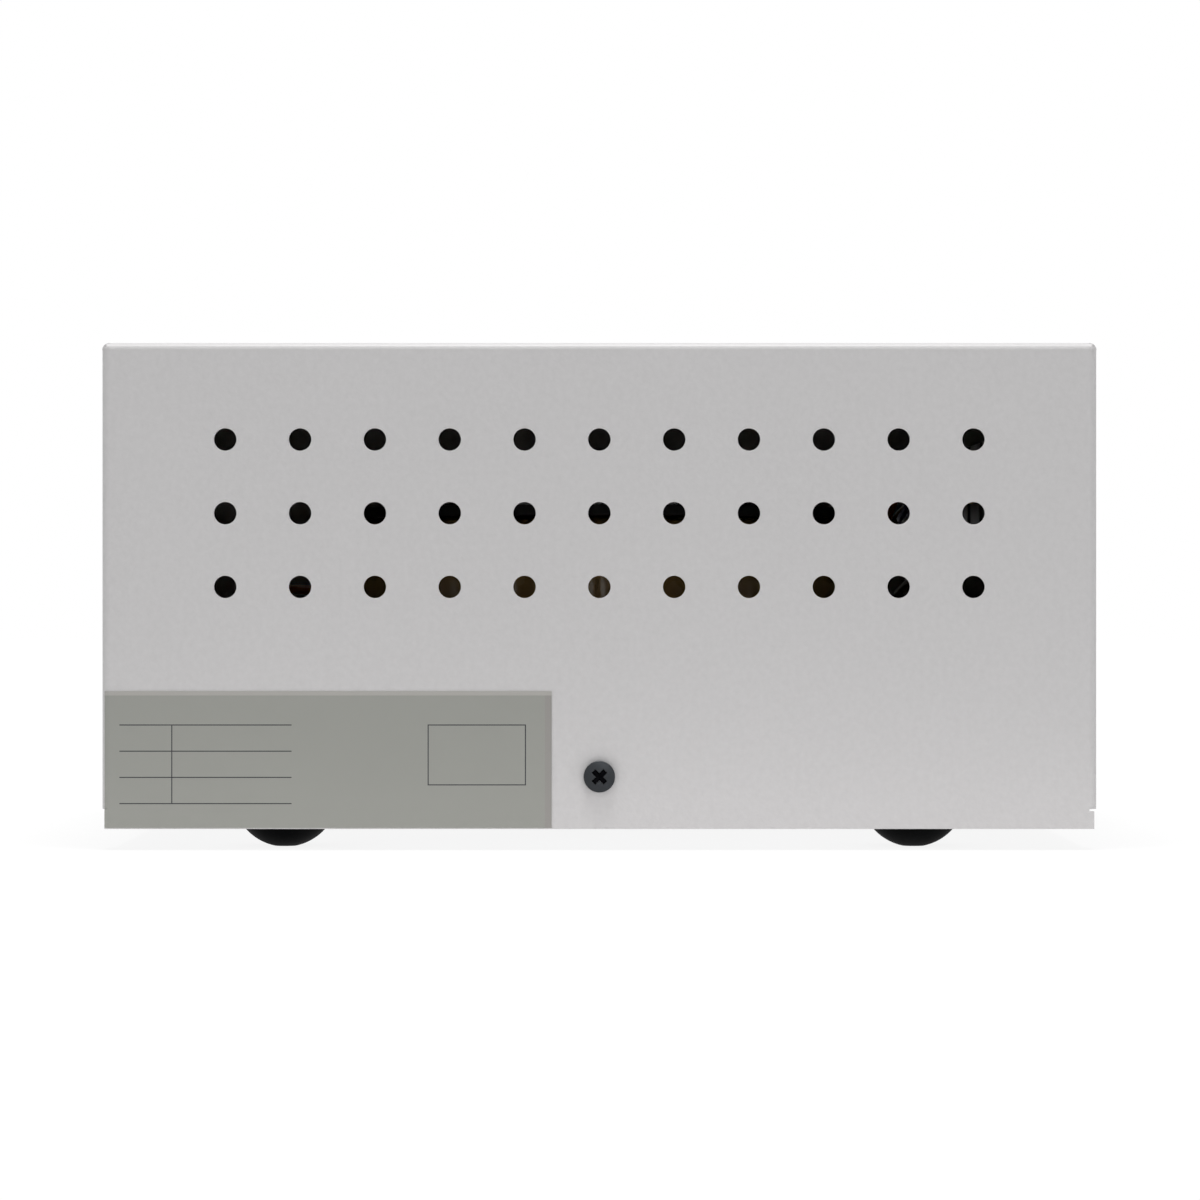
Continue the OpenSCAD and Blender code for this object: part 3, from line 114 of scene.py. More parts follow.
class DetailSettings(PropertyGroup):
    """Sizes of the fine pieces."""
    sheet_edge: length("Sheet Edge", "Rounding of cut sheet and punched holes", 0.22 * MM)
    cover_bend: length("Cover Bend", "Outer radius of the cover's folds", 2.0 * MM)
    cover_sheet: length("Cover Sheet", "Thickness of the cover's sheet", 1.2 * MM)
    corner_reach: length("Corner Reach", "Run of each fold into the cover's open corners",
                         0.85 * MM)
    moulding_edge: length("Moulding Edge", "Rounding of moulded plastic", 0.35 * MM)
    metal_edge: length("Metal Edge", "Rounding of turned and hexagonal pieces", 0.25 * MM)
    tape_turns: IntProperty(name="Tape Turns", description="Turns of the outer wrap round the ring",
                            default=44, min=20, max=80)
    tape_step: length("Tape Step", "Height of a lapped tape edge", 0.35 * MM)
    cross_span: length("Cross Span", "Length across the screws' cross recess", 4.3 * MM)
    cross_width: length("Cross Width", "Width of an arm of the cross recess", 1.15 * MM)
    cross_depth: length("Cross Depth", "Depth of the cross recess", 2.0 * MM)
    mark_size: length("Mark Size", "Height of the bar and ring on the rocker", 4.2 * MM)
    mark_line: length("Mark Line", "Line width of the bar and ring", 0.55 * MM)
    mark_place: length("Mark Place", "From the rocker's valley to the bar and the ring", 5.5 * MM)
    valley_reach: length("Valley Reach", "From the rocker's pivot out to its valley", 3.14 * MM)
    digit_size: length("Digit Size", "Size of the selector's numbers", 3.2 * MM)
    digit_place: length("Digit Place", "From the selector's middle to its numbers", 4.6 * MM)


class StageSettings(PropertyGroup):
    """Camera, light and floor."""
    distance: length("Distance", "From the camera to the near side of the case", 1.2)
    field: length("Field", "Width of the picture at the near side of the case", 320.7 * MM)
    eye_height: length("Eye Height", "Height of the camera above the floor", 66.9 * MM)
    eye_side: length("Eye Side", "Sideways place of the camera", 0.17 * MM)
    ambient: FloatProperty(name="Ambient", description="Strength of the even light", default=0.54,
                           min=0.0)
    top_power: power("Top Power", "Overhead soft box", 17.0)
    key_power: power("Key Power", "Soft box at the upper right", 1.9)
    bounce_power: power("Bounce Power", "Pale card on the floor before the case", 0.019)


# Meshes


def linked_object(name, data):
    """Links a new object that holds a mesh, curve, lamp or camera, at the origin."""
    obj = bpy.data.objects.new(name, data)
    bpy.context.scene.collection.objects.link(obj)
    return obj


def grid_faces(rows, cols, closed):
    """Quads between neighbouring rings of a grid. Its columns close, and its rows if asked."""
    i = np.arange(rows if closed else rows - 1)[:, None]
    j = np.arange(cols)[None, :]
    i_next, j_next = (i + 1) % rows, (j + 1) % cols
    quads = [i * cols + j, i_next * cols + j, i_next * cols + j_next, i * cols + j_next]
    return np.stack(quads, axis=-1).reshape(-1, 4)


def ring_skin(rings, closed=False):
    """Points and faces of a skin over rings of points, an array of rows by columns by 3.

    An open run of rings is closed at both ends by a fan to the middle of its end ring."""
    rows, cols = rings.shape[:2]
    points = rings.reshape(-1, 3)
    faces = grid_faces(rows, cols, closed).tolist()
    if not closed:
        ends = np.stack([rings[0].mean(0), rings[-1].mean(0)])
        j = np.arange(cols)
        j_next = (j + 1) % cols
        first, last = rows * cols, rows * cols + 1
        faces += np.stack([np.full(cols, first), j, j_next], -1).tolist()
        low = (rows - 1) * cols
        faces += np.stack([np.full(cols, last), low + j_next, low + j], -1).tolist()
        points = np.concatenate([points, ends])
    return points, faces


def build_mesh(name, skins, sharp=SHARP_FROM):
    """One mesh from several skins, with normals outwards and edges over an angle left sharp."""
    points, faces, start = [], [], 0
    for skin_points, skin_faces in skins:
        points.append(skin_points)
        faces += [[start + k for k in face] for face in skin_faces]
        start += len(skin_points)
    mesh = bpy.data.meshes.new(name)
    mesh.from_pydata(np.concatenate(points).tolist(), [], faces)
    solid = bmesh.new()
    solid.from_mesh(mesh)
    bmesh.ops.recalc_face_normals(solid, faces=solid.faces)
    solid.to_mesh(mesh)
    solid.free()
    mesh.shade_smooth()
    mesh.set_sharp_from_angle(angle=math.radians(sharp))
    return mesh


def join_mesh(obj, extra):
    """Adds the faces of another mesh to an object's own."""
    solid = bmesh.new()
    solid.from_mesh(obj.data)
    solid.from_mesh(extra)
    solid.to_mesh(obj.data)
    solid.free()
    bpy.data.meshes.remove(extra)


def full_turn(count):
    """Angles of a full turn in equal steps, without the last one."""
    return np.linspace(0, 2 * np.pi, count, endpoint=False)


def lathe(profile, turns):
    """Rings of a profile of radius and height turned about Z."""
    a = full_turn(turns)
    r, z = np.asarray(profile, float).T
    return np.stack([r[:, None] * np.cos(a), r[:, None] * np.sin(a), z[:, None] + 0 * a], axis=-1)


def arc(cx, cz, r, start, end, count):
    """Points of radius and height along an arc, with its angles in degrees."""
    a = np.radians(np.linspace(start, end, count))
    return np.stack([cx + r * np.cos(a), cz + r * np.sin(a)], axis=-1)


def on_plane(points, centre, right, out):
    """Moves a drawing's points, across, up and out, to a plane given by its centre and two ways."""
    right, out = np.array(right), np.array(out)
    return np.array(centre) + points @ np.stack([right, np.cross(out, right), out])


def merged_copy(node):
    """A copy of a node's mesh with its loose triangles joined at their shared corners."""
    apart, flat = 0.002 * MM, math.radians(0.3)
    mesh = nodes[node].data.copy()
    solid = bmesh.new()
    solid.from_mesh(mesh)
    bmesh.ops.remove_doubles(solid, verts=solid.verts, dist=apart)
    bmesh.ops.dissolve_limit(solid, angle_limit=flat, verts=solid.verts, edges=solid.edges)
    solid.to_mesh(mesh)
    solid.free()
    if "custom_normal" in mesh.attributes:
        mesh.attributes.remove(mesh.attributes["custom_normal"])
    mesh.shade_smooth()
    return mesh


# Shader nodes


def wire(tree, source, target, into):
    """Links a (node, output) pair to a node's input, or sets the input to a plain value."""
    if isinstance(source, tuple) and isinstance(source[0], bpy.types.Node):
        tree.links.new(source[0].outputs[source[1]], target.inputs[into])
    else:
        target.inputs[into].default_value = source


def add(tree, kind, inputs=None, **settings):
    """Adds a shader node. Its inputs are plain values or (node, output) pairs."""
    made = tree.nodes.new("ShaderNode" + kind)
    for key, value in settings.items():
        setattr(made, key, value)
    for key, value in (inputs or {}).items():
        wire(tree, value, made, key)
    return made


def maths(tree, operation, *values):
    """A Math node on plain values or (node, output) pairs, given back as such a pair."""
    return add(tree, "Math", dict(enumerate(values)), operation=operation), 0


def blend_colours(tree, mask, low, high):
    """Mixes two colours by a mask. Each colour is a plain value or a (node, output) pair."""
    mix = add(tree, "Mix", {"Factor": mask}, data_type="RGBA")
    places = [i for i, socket in enumerate(mix.inputs) if socket.type == "RGBA"]
    for into, value in zip(places, (low, high)):
        wire(tree, value, mix, into)
    return mix, next(i for i, socket in enumerate(mix.outputs) if socket.type == "RGBA")


def coordinates(tree, kind="Object"):
    """The object's own coordinates, or another kind, as a (node, output) pair."""
    return add(tree, "TexCoord"), kind


def new_group(name, inputs, outputs):
    """An empty node group with named sockets, and its two end nodes."""
    group = bpy.data.node_groups.new(name, "ShaderNodeTree")
    for socket, kind in inputs:
        group.interface.new_socket(socket, in_out="INPUT", socket_type="NodeSocket" + kind)
    for socket, kind in outputs:
        group.interface.new_socket(socket, in_out="OUTPUT", socket_type="NodeSocket" + kind)
    return group, group.nodes.new("NodeGroupInput"), group.nodes.new("NodeGroupOutput")


def tone_group():
    """Soft patches of lighter and darker colour, and a mask of the same patches."""
    group, start, end = new_group(
        "Soft Tone",
        [("Vector", "Vector"), ("Color", "Color"), ("Scale", "Float"), ("Amount", "Float")],
        [("Color", "Color"), ("Mask", "Float")])
    patches = add(group, "TexNoise", {"Vector": (start, "Vector"), "Scale": (start, "Scale"),
                                      "Detail": 4.0, "Roughness": 0.6})
    centred = maths(group, "SUBTRACT", (patches, "Fac"), 0.5)
    gain = maths(group, "ADD", maths(group, "MULTIPLY", centred, (start, "Amount")), 1.0)
    shade = add(group, "VectorMath", {0: (start, "Color"), "Scale": gain}, operation="SCALE")
    wire(group, (shade, 0), end, "Color")
    wire(group, (patches, "Fac"), end, "Mask")
    return group


def lumps_group():
    """Rounded lumps of a sprayed or moulded surface, with a finer haze on them, as a height."""
    group, start, end = new_group(
        "Lumps", [("Vector", "Vector"), ("Scale", "Float"), ("Fineness", "Float")],
        [("Height", "Float")])
    haze_share = 0.6
    cells = add(group, "TexVoronoi", {"Vector": (start, "Vector"), "Scale": (start, "Scale"),
                                      "Randomness": 1.0}, feature="SMOOTH_F1")
    finer = maths(group, "MULTIPLY", (start, "Scale"), (start, "Fineness"))
    haze = add(group, "TexNoise", {"Vector": (start, "Vector"), "Scale": finer,
                                   "Detail": 3.0, "Roughness": 0.55})
    lump = maths(group, "SUBTRACT", 1.0, (cells, "Distance"))
    wire(group, maths(group, "MULTIPLY_ADD", (haze, "Fac"), haze_share, lump), end, "Height")
    return group


def brushed_group():
    """Fine scratches drawn out along X, as a mask."""
    group, start, end = new_group(
        "Brushed", [("Vector", "Vector"), ("Scale", "Float"), ("Stretch", "Float")],
        [("Mask", "Float")])
    stretch = add(group, "CombineXYZ", {"X": (start, "Stretch"), "Y": 1.0, "Z": 1.0})
    drawn = add(group, "VectorMath", {0: (start, "Vector"), 1: (stretch, 0)}, operation="MULTIPLY")
    lines = add(group, "TexNoise", {"Vector": (drawn, 0), "Scale": (start, "Scale"),
                                    "Detail": 3.0, "Roughness": 0.7})
    wire(group, (lines, "Fac"), end, "Mask")
    return group


def rule_group():
    """Mask of a straight bar: one where both coordinates are within half sizes of its middle."""
    sockets = ("X", "Z", "Middle X", "Middle Z", "Half Length", "Half Width")
    group, start, end = new_group("Ruled Bar", [(name, "Float") for name in sockets],
                                  [("Mask", "Float")])
    within = []
    for axis, half in (("X", "Half Length"), ("Z", "Half Width")):
        away = maths(group, "SUBTRACT", (start, axis), (start, "Middle " + axis))
        within.append(maths(group, "LESS_THAN", maths(group, "ABSOLUTE", away), (start, half)))
    wire(group, maths(group, "MULTIPLY", *within), end, "Mask")
    return group


GROUP_BUILDERS = {"Soft Tone": tone_group, "Lumps": lumps_group, "Brushed": brushed_group,
                  "Ruled Bar": rule_group}


def use(tree, name, **values):
    """Places a node group, made the first time. Values are plain or (node, output) pairs."""
    if name not in groups:
        groups[name] = GROUP_BUILDERS[name]()
    made = tree.nodes.new("ShaderNodeGroup")
    made.node_tree = groups[name]
    for key, value in values.items():
        wire(tree, value, made, key.replace("_", " "))
    return made


def new_material(name, **shader_values):
    """A material with its surface shader and object coordinates."""
    material = bpy.data.materials.new("fine_" + name)
    material.use_nodes = True
    tree = material.node_tree
    shader = tree.nodes["Principled BSDF"]
    for key, value in shader_values.items():
        shader.inputs[key.replace("_", " ")].default_value = value
    return material, tree, shader, coordinates(tree)


def rgba(values):
    """A colour with full alpha."""
    return (*values, 1.0)


def spread_gloss(tree, mask, low, high, shader):
    """Drives the shader's roughness between two values by a noise's mask."""
    ramp = add(tree, "MapRange", {"Value": mask, "From Min": 0.3, "From Max": 0.7,
                                  "To Min": low, "To Max": high})
    wire(tree, (ramp, "Result"), shader, "Roughness")


def bump(tree, height, depth, shader):
    """Feeds the shader's normal from a height that stands for a depth in metres."""
    made = add(tree, "Bump", {"Strength": 1.0, "Distance": depth, "Height": height})
    wire(tree, (made, "Normal"), shader, "Normal")


def repaint(material, mask, top):
    """Lays a plain colour over a material's own where the mask is one."""
    tree = material.node_tree
    shader = tree.nodes["Principled BSDF"]
    own = shader.inputs["Base Color"].links[0].from_socket
    below = (own.node, list(own.node.outputs).index(own))
    wire(tree, blend_colours(tree, mask, below, rgba(top)), shader, "Base Color")


# Finishes


def powder_coat(name, paint, settings):
    """Sprayed and baked paint: low lumps, a slight change of tone and a soft sheen."""
    material, tree, shader, where = new_material(name, Specular_IOR_Level=0.35)
    tone = use(tree, "Soft Tone", Vector=where, Color=rgba(paint), Scale=9.0, Amount=0.035)
    fleck = use(tree, "Soft Tone", Vector=where, Color=(tone, "Color"),
                Scale=0.55 / settings.grain, Amount=0.145)
    lumps = use(tree, "Lumps", Vector=where, Scale=1 / settings.grain, Fineness=2.2)
    wire(tree, (fleck, "Color"), shader, "Base Color")
    spread_gloss(tree, (fleck, "Mask"), 0.34, 0.44, shader)
    bump(tree, (lumps, "Height"), settings.grain_depth, shader)
    return material


def rating_foil(settings):
    """Printed foil: a plain ground below a lighter top band, with ruled lines and a frame."""
    low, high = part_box("rating_label")
    top_band, end_band, line = 1.1 * MM, 1.8 * MM, 0.14 * MM
    rule_from, rule_to, rule_drops = 4 * MM, 50 * MM, (9, 16, 23, 30)
    column_in, column_drop, column_half = 14 * MM, 19.5 * MM, 10.5 * MM
    frame_in, frame_drop, frame_half_x, frame_half_z = 20 * MM, 17 * MM, 13 * MM, 8 * MM
    material, tree, shader, where = new_material("rating_foil", Specular_IOR_Level=0.3)
    axes = add(tree, "SeparateXYZ", {0: where})

    def bar(middle_x, middle_z, half_length, half_width):
        made = use(tree, "Ruled Bar", X=(axes, "X"), Z=(axes, "Z"), Middle_X=middle_x,
                   Middle_Z=middle_z, Half_Length=half_length, Half_Width=half_width)
        return made, "Mask"

    half_x, half_z = (high.x - low.x) / 2, (high.z - low.z) / 2
    ground = bar(low.x + half_x, low.z + half_z - top_band, 2 * half_x, half_z)
    plain = bar(low.x + half_x - end_band, low.z + half_z, half_x, 2 * half_z)
    left, right = low.x + rule_from, low.x + rule_to
    lines = [bar((left + right) / 2, high.z - drop * MM, (right - left) / 2, line)
             for drop in rule_drops]
    lines.append(bar(left + column_in, high.z - column_drop, line, column_half))
    frame_x, frame_z = high.x - frame_in, high.z - frame_drop
    for side in (-1, 1):
        lines.append(bar(frame_x, frame_z + side * frame_half_z, frame_half_x + line, line))
        lines.append(bar(frame_x + side * frame_half_x, frame_z, line, frame_half_z + line))
    printed = lines[0]
    for extra in lines[1:]:
        printed = maths(tree, "MAXIMUM", printed, extra)
    tone = use(tree, "Soft Tone", Vector=where, Color=rgba(settings.foil), Scale=14.0, Amount=0.1)
    ended = blend_colours(tree, plain, rgba(settings.foil_end), (tone, "Color"))
    edged = blend_colours(tree, ground, rgba(settings.foil_edge), ended)
    inked = blend_colours(tree, printed, edged, rgba(settings.foil_print))
    wire(tree, inked, shader, "Base Color")
    spread_gloss(tree, (tone, "Mask"), 0.4, 0.52, shader)
    lumps = use(tree, "Lumps", Vector=where, Scale=2500.0, Fineness=2.0)
    bump(tree, (lumps, "Height"), 0.004 * MM, shader)
    return material


def moulding(name, paint, rough, lump_size, depth, amount=0.12, **shader_values):
    """Moulded or cast matter: a fine skin with soft changes of tone and gloss."""
    material, tree, shader, where = new_material(name, **shader_values)
    tone = use(tree, "Soft Tone", Vector=where, Color=rgba(paint), Scale=60.0, Amount=amount)
    lumps = use(tree, "Lumps", Vector=where, Scale=1 / lump_size, Fineness=2.0)
    wire(tree, (tone, "Color"), shader, "Base Color")
    spread_gloss(tree, (tone, "Mask"), rough * 0.85, rough * 1.15, shader)
    bump(tree, (lumps, "Height"), depth, shader)
    return material


def striped_sleeve(name, base, stripe):
    """Two-coloured lead: the stripe takes the part of each tube that faces one way."""
    stripe_way, stripe_from = (0.75, 0.35, 0.56), 0.2
    material = moulding(name, base, 0.38, 0.4 * MM, 0.006 * MM)
    tree = material.node_tree
    facing = add(tree, "VectorMath", {0: coordinates(tree, "Normal"), 1: stripe_way},
                 operation="DOT_PRODUCT")
    repaint(material, maths(tree, "GREATER_THAN", (facing, "Value"), stripe_from), stripe)
    return material


def drawn_metal(name, paint, rough, stretch=0.06, scale=900.0, depth=0.004 * MM, amount=0.25):
    """Rolled, drawn or plated metal: fine lines, patches of tone and uneven gloss."""
    material, tree, shader, where = new_material(name, Metallic=1.0)
    tone = use(tree, "Soft Tone", Vector=where, Color=rgba(paint), Scale=90.0, Amount=amount)
    lines = use(tree, "Brushed", Vector=where, Scale=scale, Stretch=stretch)
    wire(tree, (tone, "Color"), shader, "Base Color")
    spread_gloss(tree, (lines, "Mask"), rough * 0.75, rough * 1.3, shader)
    bump(tree, (lines, "Mask"), depth, shader)
    return material


def black_oxide(name):
    """Blackened steel with painted shade in the cross recess, where the mesh's recess attribute darkens it.

    Painted glints brighten the recess's edge in places, standing in for reflected light. The edge is where the
    attribute m is halfway, by m * (1 - m), and a fine noise picks the places."""
    # Painted shade colour for the cross recess, and painted glint colour for its edge.
    painted_recess_shade, painted_glint = (0.004, 0.004, 0.005), (0.5, 0.5, 0.52)
    material = drawn_metal(name, (0.043, 0.046, 0.05), 0.42, 0.5, 2500.0, 0.006 * MM, 0.5)
    tree = material.node_tree
    recess = (add(tree, "Attribute", attribute_name="recess"), "Fac")
    # Painted shade: the cross recess is darkened in its colour.
    repaint(material, recess, painted_recess_shade)
    # Painted glints: a bright colour on the recess's edge where the noise picks, standing in for reflections.
    edge = maths(tree, "MULTIPLY", maths(tree, "SUBTRACT", 1.0, recess), recess)
    glint_spots = use(tree, "Soft Tone", Vector=coordinates(tree), Color=rgba((1.0, 1.0, 1.0)),
                Scale=700.0, Amount=1.0)
    glint_picked = add(tree, "MapRange", {"Value": (glint_spots, "Mask"), "From Min": 0.5, "From Max": 0.62,
                                    "To Min": 0.0, "To Max": 4.0})
    repaint(material, maths(tree, "MULTIPLY", edge, (glint_picked, "Result")), painted_glint)
    return material


def wire_turns(name, paint, wire_pitch):
    """Enamelled wire wound round a ring: the turns run up its sides and in over its ends."""
    material, tree, shader, where = new_material(name, Metallic=0.85, Coat_Weight=0.6,
                                                 Coat_Roughness=0.15)
    angle = add(tree, "TexGradient", {"Vector": where}, gradient_type="RADIAL")
    around = 2 * math.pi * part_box("outer_wrap")[1].x
    turns = maths(tree, "MULTIPLY", (angle, "Fac"), around / wire_pitch)
    wave = maths(tree, "SINE", maths(tree, "MULTIPLY", turns, 2 * math.pi))
    tone = use(tree, "Soft Tone", Vector=where, Color=rgba(paint), Scale=120.0, Amount=0.35)
    wire(tree, (tone, "Color"), shader, "Base Color")
    spread_gloss(tree, (tone, "Mask"), 0.25, 0.4, shader)
    bump(tree, wave, 0.15 * MM, shader)
    return material


def finishes(settings):
    """Every finish by the name of its slot in the record."""
    zinc = settings.zinc
    made = [
        powder_coat("cover_paint", settings.cover_paint, settings),
        powder_coat("panel_paint", settings.panel_paint, settings),
        rating_foil(settings),
        # Colour, roughness, size of the lumps, their height and the change of tone
        moulding("foot_rubber", settings.rubber, 0.6, 0.5 * MM, 0.006 * MM, 0.3,
                 Specular_IOR_Level=0.03),
        moulding("pad_rubber", (0.02, 0.02, 0.021), 0.6, 0.6 * MM, 0.02 * MM),
        moulding("black_plastic", (0.014, 0.014, 0.015), 0.42, 0.35 * MM, 0.008 * MM),
        moulding("black_gloss", (0.01, 0.01, 0.011), 0.2, 3 * MM, 0.003 * MM),
        moulding("rocker_red", (0.42, 0.012, 0.008), 0.2, 3 * MM, 0.003 * MM),
        moulding("slider_red", (0.4, 0.02, 0.012), 0.38, 0.5 * MM, 0.006 * MM),
        moulding("button_white", (0.68, 0.67, 0.62), 0.35, 0.5 * MM, 0.004 * MM, 0.06),
        moulding("block_plastic", (0.6, 0.57, 0.47), 0.45, 0.5 * MM, 0.008 * MM, 0.08),
        moulding("insulation_film", (0.6, 0.55, 0.36), 0.3, 4 * MM, 0.03 * MM, 0.15),
        moulding("wrap_film", settings.tape, 0.28, 5 * MM, 0.02 * MM, 0.35, Coat_Weight=0.5,
                 Coat_Roughness=0.12),
        moulding("tie_nylon", (0.62, 0.61, 0.54), 0.4, 0.6 * MM, 0.01 * MM, 0.06),
        moulding("wire_brown", (0.09, 0.035, 0.014), 0.38, 0.4 * MM, 0.006 * MM),
        moulding("wire_blue", (0.015, 0.06, 0.28), 0.38, 0.4 * MM, 0.006 * MM),
        moulding("wire_orange", (0.6, 0.16, 0.015), 0.42, 0.4 * MM, 0.01 * MM),
        moulding("lens_green", (0.03, 0.5, 0.09), 0.12, 1.2 * MM, 0.02 * MM, 0.1,
                 Transmission_Weight=0.6, IOR=1.49),
        striped_sleeve("wire_earth", (0.02, 0.2, 0.035), (0.62, 0.5, 0.02)),
        # Colour, roughness, the lines' stretch along X, scale and height, and the change of tone
        drawn_metal("plated_sheet", zinc, 0.32),
        drawn_metal("plated_hardware", [c * 1.08 for c in zinc], 0.3, 0.4, 1500.0),
        drawn_metal("core_steel", (0.16, 0.16, 0.17), 0.4, 1.0, 700.0, 0.02 * MM),
        drawn_metal("shield_copper", (0.78, 0.4, 0.24), 0.25, 0.3, 300.0, 0.02 * MM),
        drawn_metal("lamp_chrome", (0.56, 0.56, 0.58), 0.16, 0.5, 400.0, 0.001 * MM, 0.05),
        drawn_metal("contact_brass", (0.72, 0.5, 0.2), 0.26, 0.3, 1500.0),
        drawn_metal("pin_nickel", (0.52, 0.49, 0.44), 0.24, 0.2, 1500.0),
        black_oxide("black_screw"),
        wire_turns("winding_copper", settings.copper, 1.3 * MM),
    ]
    return {material.name.removeprefix("fine_"): material for material in made}


def finish_of(slot):
    """The material of a slot of the record, made with all the others the first time."""
    if not made_finishes:
        made_finishes.update(finishes(bpy.context.scene.transformer_finish))
    return made_finishes[slot]


# Pieces


def settle(obj, body, slot, replaced=()):
    """Gives a finished piece its body, slot, material and the nodes that it stands for."""
    obj.data.materials.clear()
    obj.data.materials.append(finish_of(slot))
    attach(obj, body)
    if replaced:
        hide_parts(*replaced)
    return obj


def soften(node, edge):
    """A node's piece again with its edges rounded, in place of the node."""
    obj = linked_object("fine_" + node, merged_copy(node))
    bevel = obj.modifiers.new("Edges", "BEVEL")
    bevel.width = edge
    bevel.segments = 2
    bevel.limit_method = "ANGLE"
    bevel.angle_limit = math.radians(BEVEL_FROM)
    bevel.miter_outer = "MITER_ARC"
    normals = obj.modifiers.new("Flats", "WEIGHTED_NORMAL")
    normals.weight = 100
    return settle(obj, body_of[node], slot_of[node], [node])


def soften_all(edge, *names):
    """Rounds the edges of several nodes' pieces."""
    for name in names:
        soften(name, edge)


def dress(*names):
    """Gives CAD nodes that keep their shape the finish of their slot."""
    for name in names:
        slots = nodes[name].data.materials
        slots.clear()
        slots.append(finish_of(slot_of[name]))


def corner_folds(detail):
    """Short ends of the three folds that meet at each upper corner of the cover.

    An end is a quarter turn of the sheet's section, a rectangle of the sheet's thickness by the
    end's length. It starts a little inside the CAD fold and a hair below its skin, and runs out
    past the tangent line by the corner reach. The three ends differ by the order of the axes."""
    high = np.array(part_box("cover")[1])
    middle = high - detail.cover_bend
    hair, inside, steps = 0.004 * MM, 0.3 * MM, 13
    outer, inner = detail.cover_bend - hair, detail.cover_bend - detail.cover_sheet + hair
    radius = np.array([outer, outer, inner, inner])
    along = np.array([-inside, detail.corner_reach, detail.corner_reach, -inside])
    a = np.radians(np.linspace(0, 90, steps))[:, None]
    end = np.stack([radius * np.cos(a), radius * np.sin(a), along + 0 * a], axis=-1)
    skins = []
    for shift in range(3):
        placed = middle + np.roll(end, shift, axis=-1)
        for x_side in (-1, 1):
            for y_side in (-1, 1):
                skins.append(ring_skin(placed * [x_side, y_side, 1]))
    return build_mesh("corner_folds", skins)


def screw_head_rings(radius, height, crown, detail):
    """Rings of a pan head from the middle of its top outwards, then down its rim to its seat.

    The top is part of a sphere, less the cross recess. That is inside two crossed bars, half as
    deep at their ends, and eases up to the top by the smooth step of the distance to their edge."""
    turns, top_rings, hub_share = 128, 44, 0.02
    rim_r, ease, seat_h, seat_in = 0.35 * MM, 0.3 * MM, 0.25 * MM, 0.2 * MM
    sphere_r = (radius ** 2 + crown ** 2) / (2 * crown)
    r = np.linspace(hub_share, 1.0, top_rings) * (radius - rim_r)
    a = full_turn(turns)
    x, y = r[:, None] * np.cos(a), r[:, None] * np.sin(a)
    top = height - sphere_r + np.sqrt(sphere_r ** 2 - x ** 2 - y ** 2)
    half, wide = detail.cross_span / 2, detail.cross_width / 2
    u, v = (x + y) / math.sqrt(2), (x - y) / math.sqrt(2)
    bars = [np.maximum(np.abs(p) - half, np.abs(q) - wide) for p, q in ((u, v), (v, u))]
    t = np.clip(0.5 - np.minimum(*bars) / ease, 0, 1)
    inside = t * t * (3 - 2 * t)
    recess = detail.cross_depth * inside * (1 - 0.5 * np.clip(np.hypot(x, y) / half, 0, 1))
    face = np.stack([x, y, top - recess], axis=-1)
    rim = arc(radius - rim_r, float(top[-1, 0]) - rim_r, rim_r, 75, 0, count=6)
    seat = [[radius, seat_h], [radius - seat_in, 0]]
    rings = np.concatenate([face, lathe(rim, turns), lathe(seat, turns)])
    marked = np.zeros(rings.shape[:2])
    marked[:len(face)] = inside
    return rings, marked


def shank_rings():
    """Rings of a threaded shank, down from the head: its radius swings by a sine of the height."""
    radius, tip, pitch, depth = 1.95 * MM, 9 * MM, 0.7 * MM, 0.12 * MM
    z = -np.linspace(0.1 * MM, tip - 0.5 * MM, num=120)
    thread = depth * (1 + np.sin(-z / pitch * 2 * np.pi))
    middle = np.stack([radius - thread, z], -1)
    return lathe([[0.6 * radius, 0.2 * MM], *middle, [radius * 0.7, -tip]], turns=32)


def screws(detail):
    """Pan-head screws of the cover, one a long side, with a cross recess turned 45 degrees."""
    low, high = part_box("cover_screws")
    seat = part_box("cover")[1].y
    radius, height, mid_z = (high.x - low.x) / 2, high.y - seat, (low.z + high.z) / 2
    crown = 1.0 * MM
    head, marked = screw_head_rings(radius, height, crown, detail)
    shank = shank_rings()
    skins, recess = [], []
    for side in (-1, 1):
        for rings, marks in ((head, marked), (shank, np.zeros(shank.shape[:2]))):
            placed = [rings[..., 0], side * (seat + rings[..., 2]), mid_z + rings[..., 1]]
            skins.append(ring_skin(np.stack(placed, axis=-1)))
            recess += [marks.ravel(), [marks[0].mean(), 0.0]]
    mesh = build_mesh("pan_screws", skins)
    marks = mesh.attributes.new("recess", "FLOAT", "POINT")
    marks.data.foreach_set("value", np.concatenate(recess))
    settle(linked_object("pan_screws", mesh), "housing", "black_screw", ["cover_screws"])


def foot(name):
    """A domed rubber foot: a flat pad, an arc and a rounded upper rim, turned about Z.

    The arc runs from the pad's edge p to the box's side w at the height h, so its middle is at
    (w * w + h * h - p * p) / 2h."""
    low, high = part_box(name)
    mid = (low + high) / 2
    half_w, h = (high.x - low.x) / 2, high.z - low.z
    pad_r, rim, hub = 3 * MM, 0.5 * MM, 0.4 * MM
    centre_z = (half_w ** 2 + h ** 2 - pad_r ** 2) / (2 * h)
    dome_r = math.hypot(centre_z, pad_r)
    start = math.degrees(math.atan2(-centre_z, pad_r))
    end = math.degrees(math.asin((h - rim - centre_z) / dome_r))
    dome = arc(0, centre_z, dome_r, start, end, count=26)
    edge_r = dome[-1][0]
    edge = arc(edge_r - rim, h - rim, rim, 0, 90, count=6)
    profile = [[hub, 0], [pad_r * 0.7, 0], *dome, *edge, [edge_r * 0.6, h], [hub, h]]
    rings = lathe(profile, turns=96) + np.array([mid.x, mid.y, low.z])
    mesh = build_mesh("rubber_" + name, [ring_skin(rings)], sharp=30.0)
    settle(linked_object("rubber_" + name, mesh), body_of[name], "foot_rubber", [name])


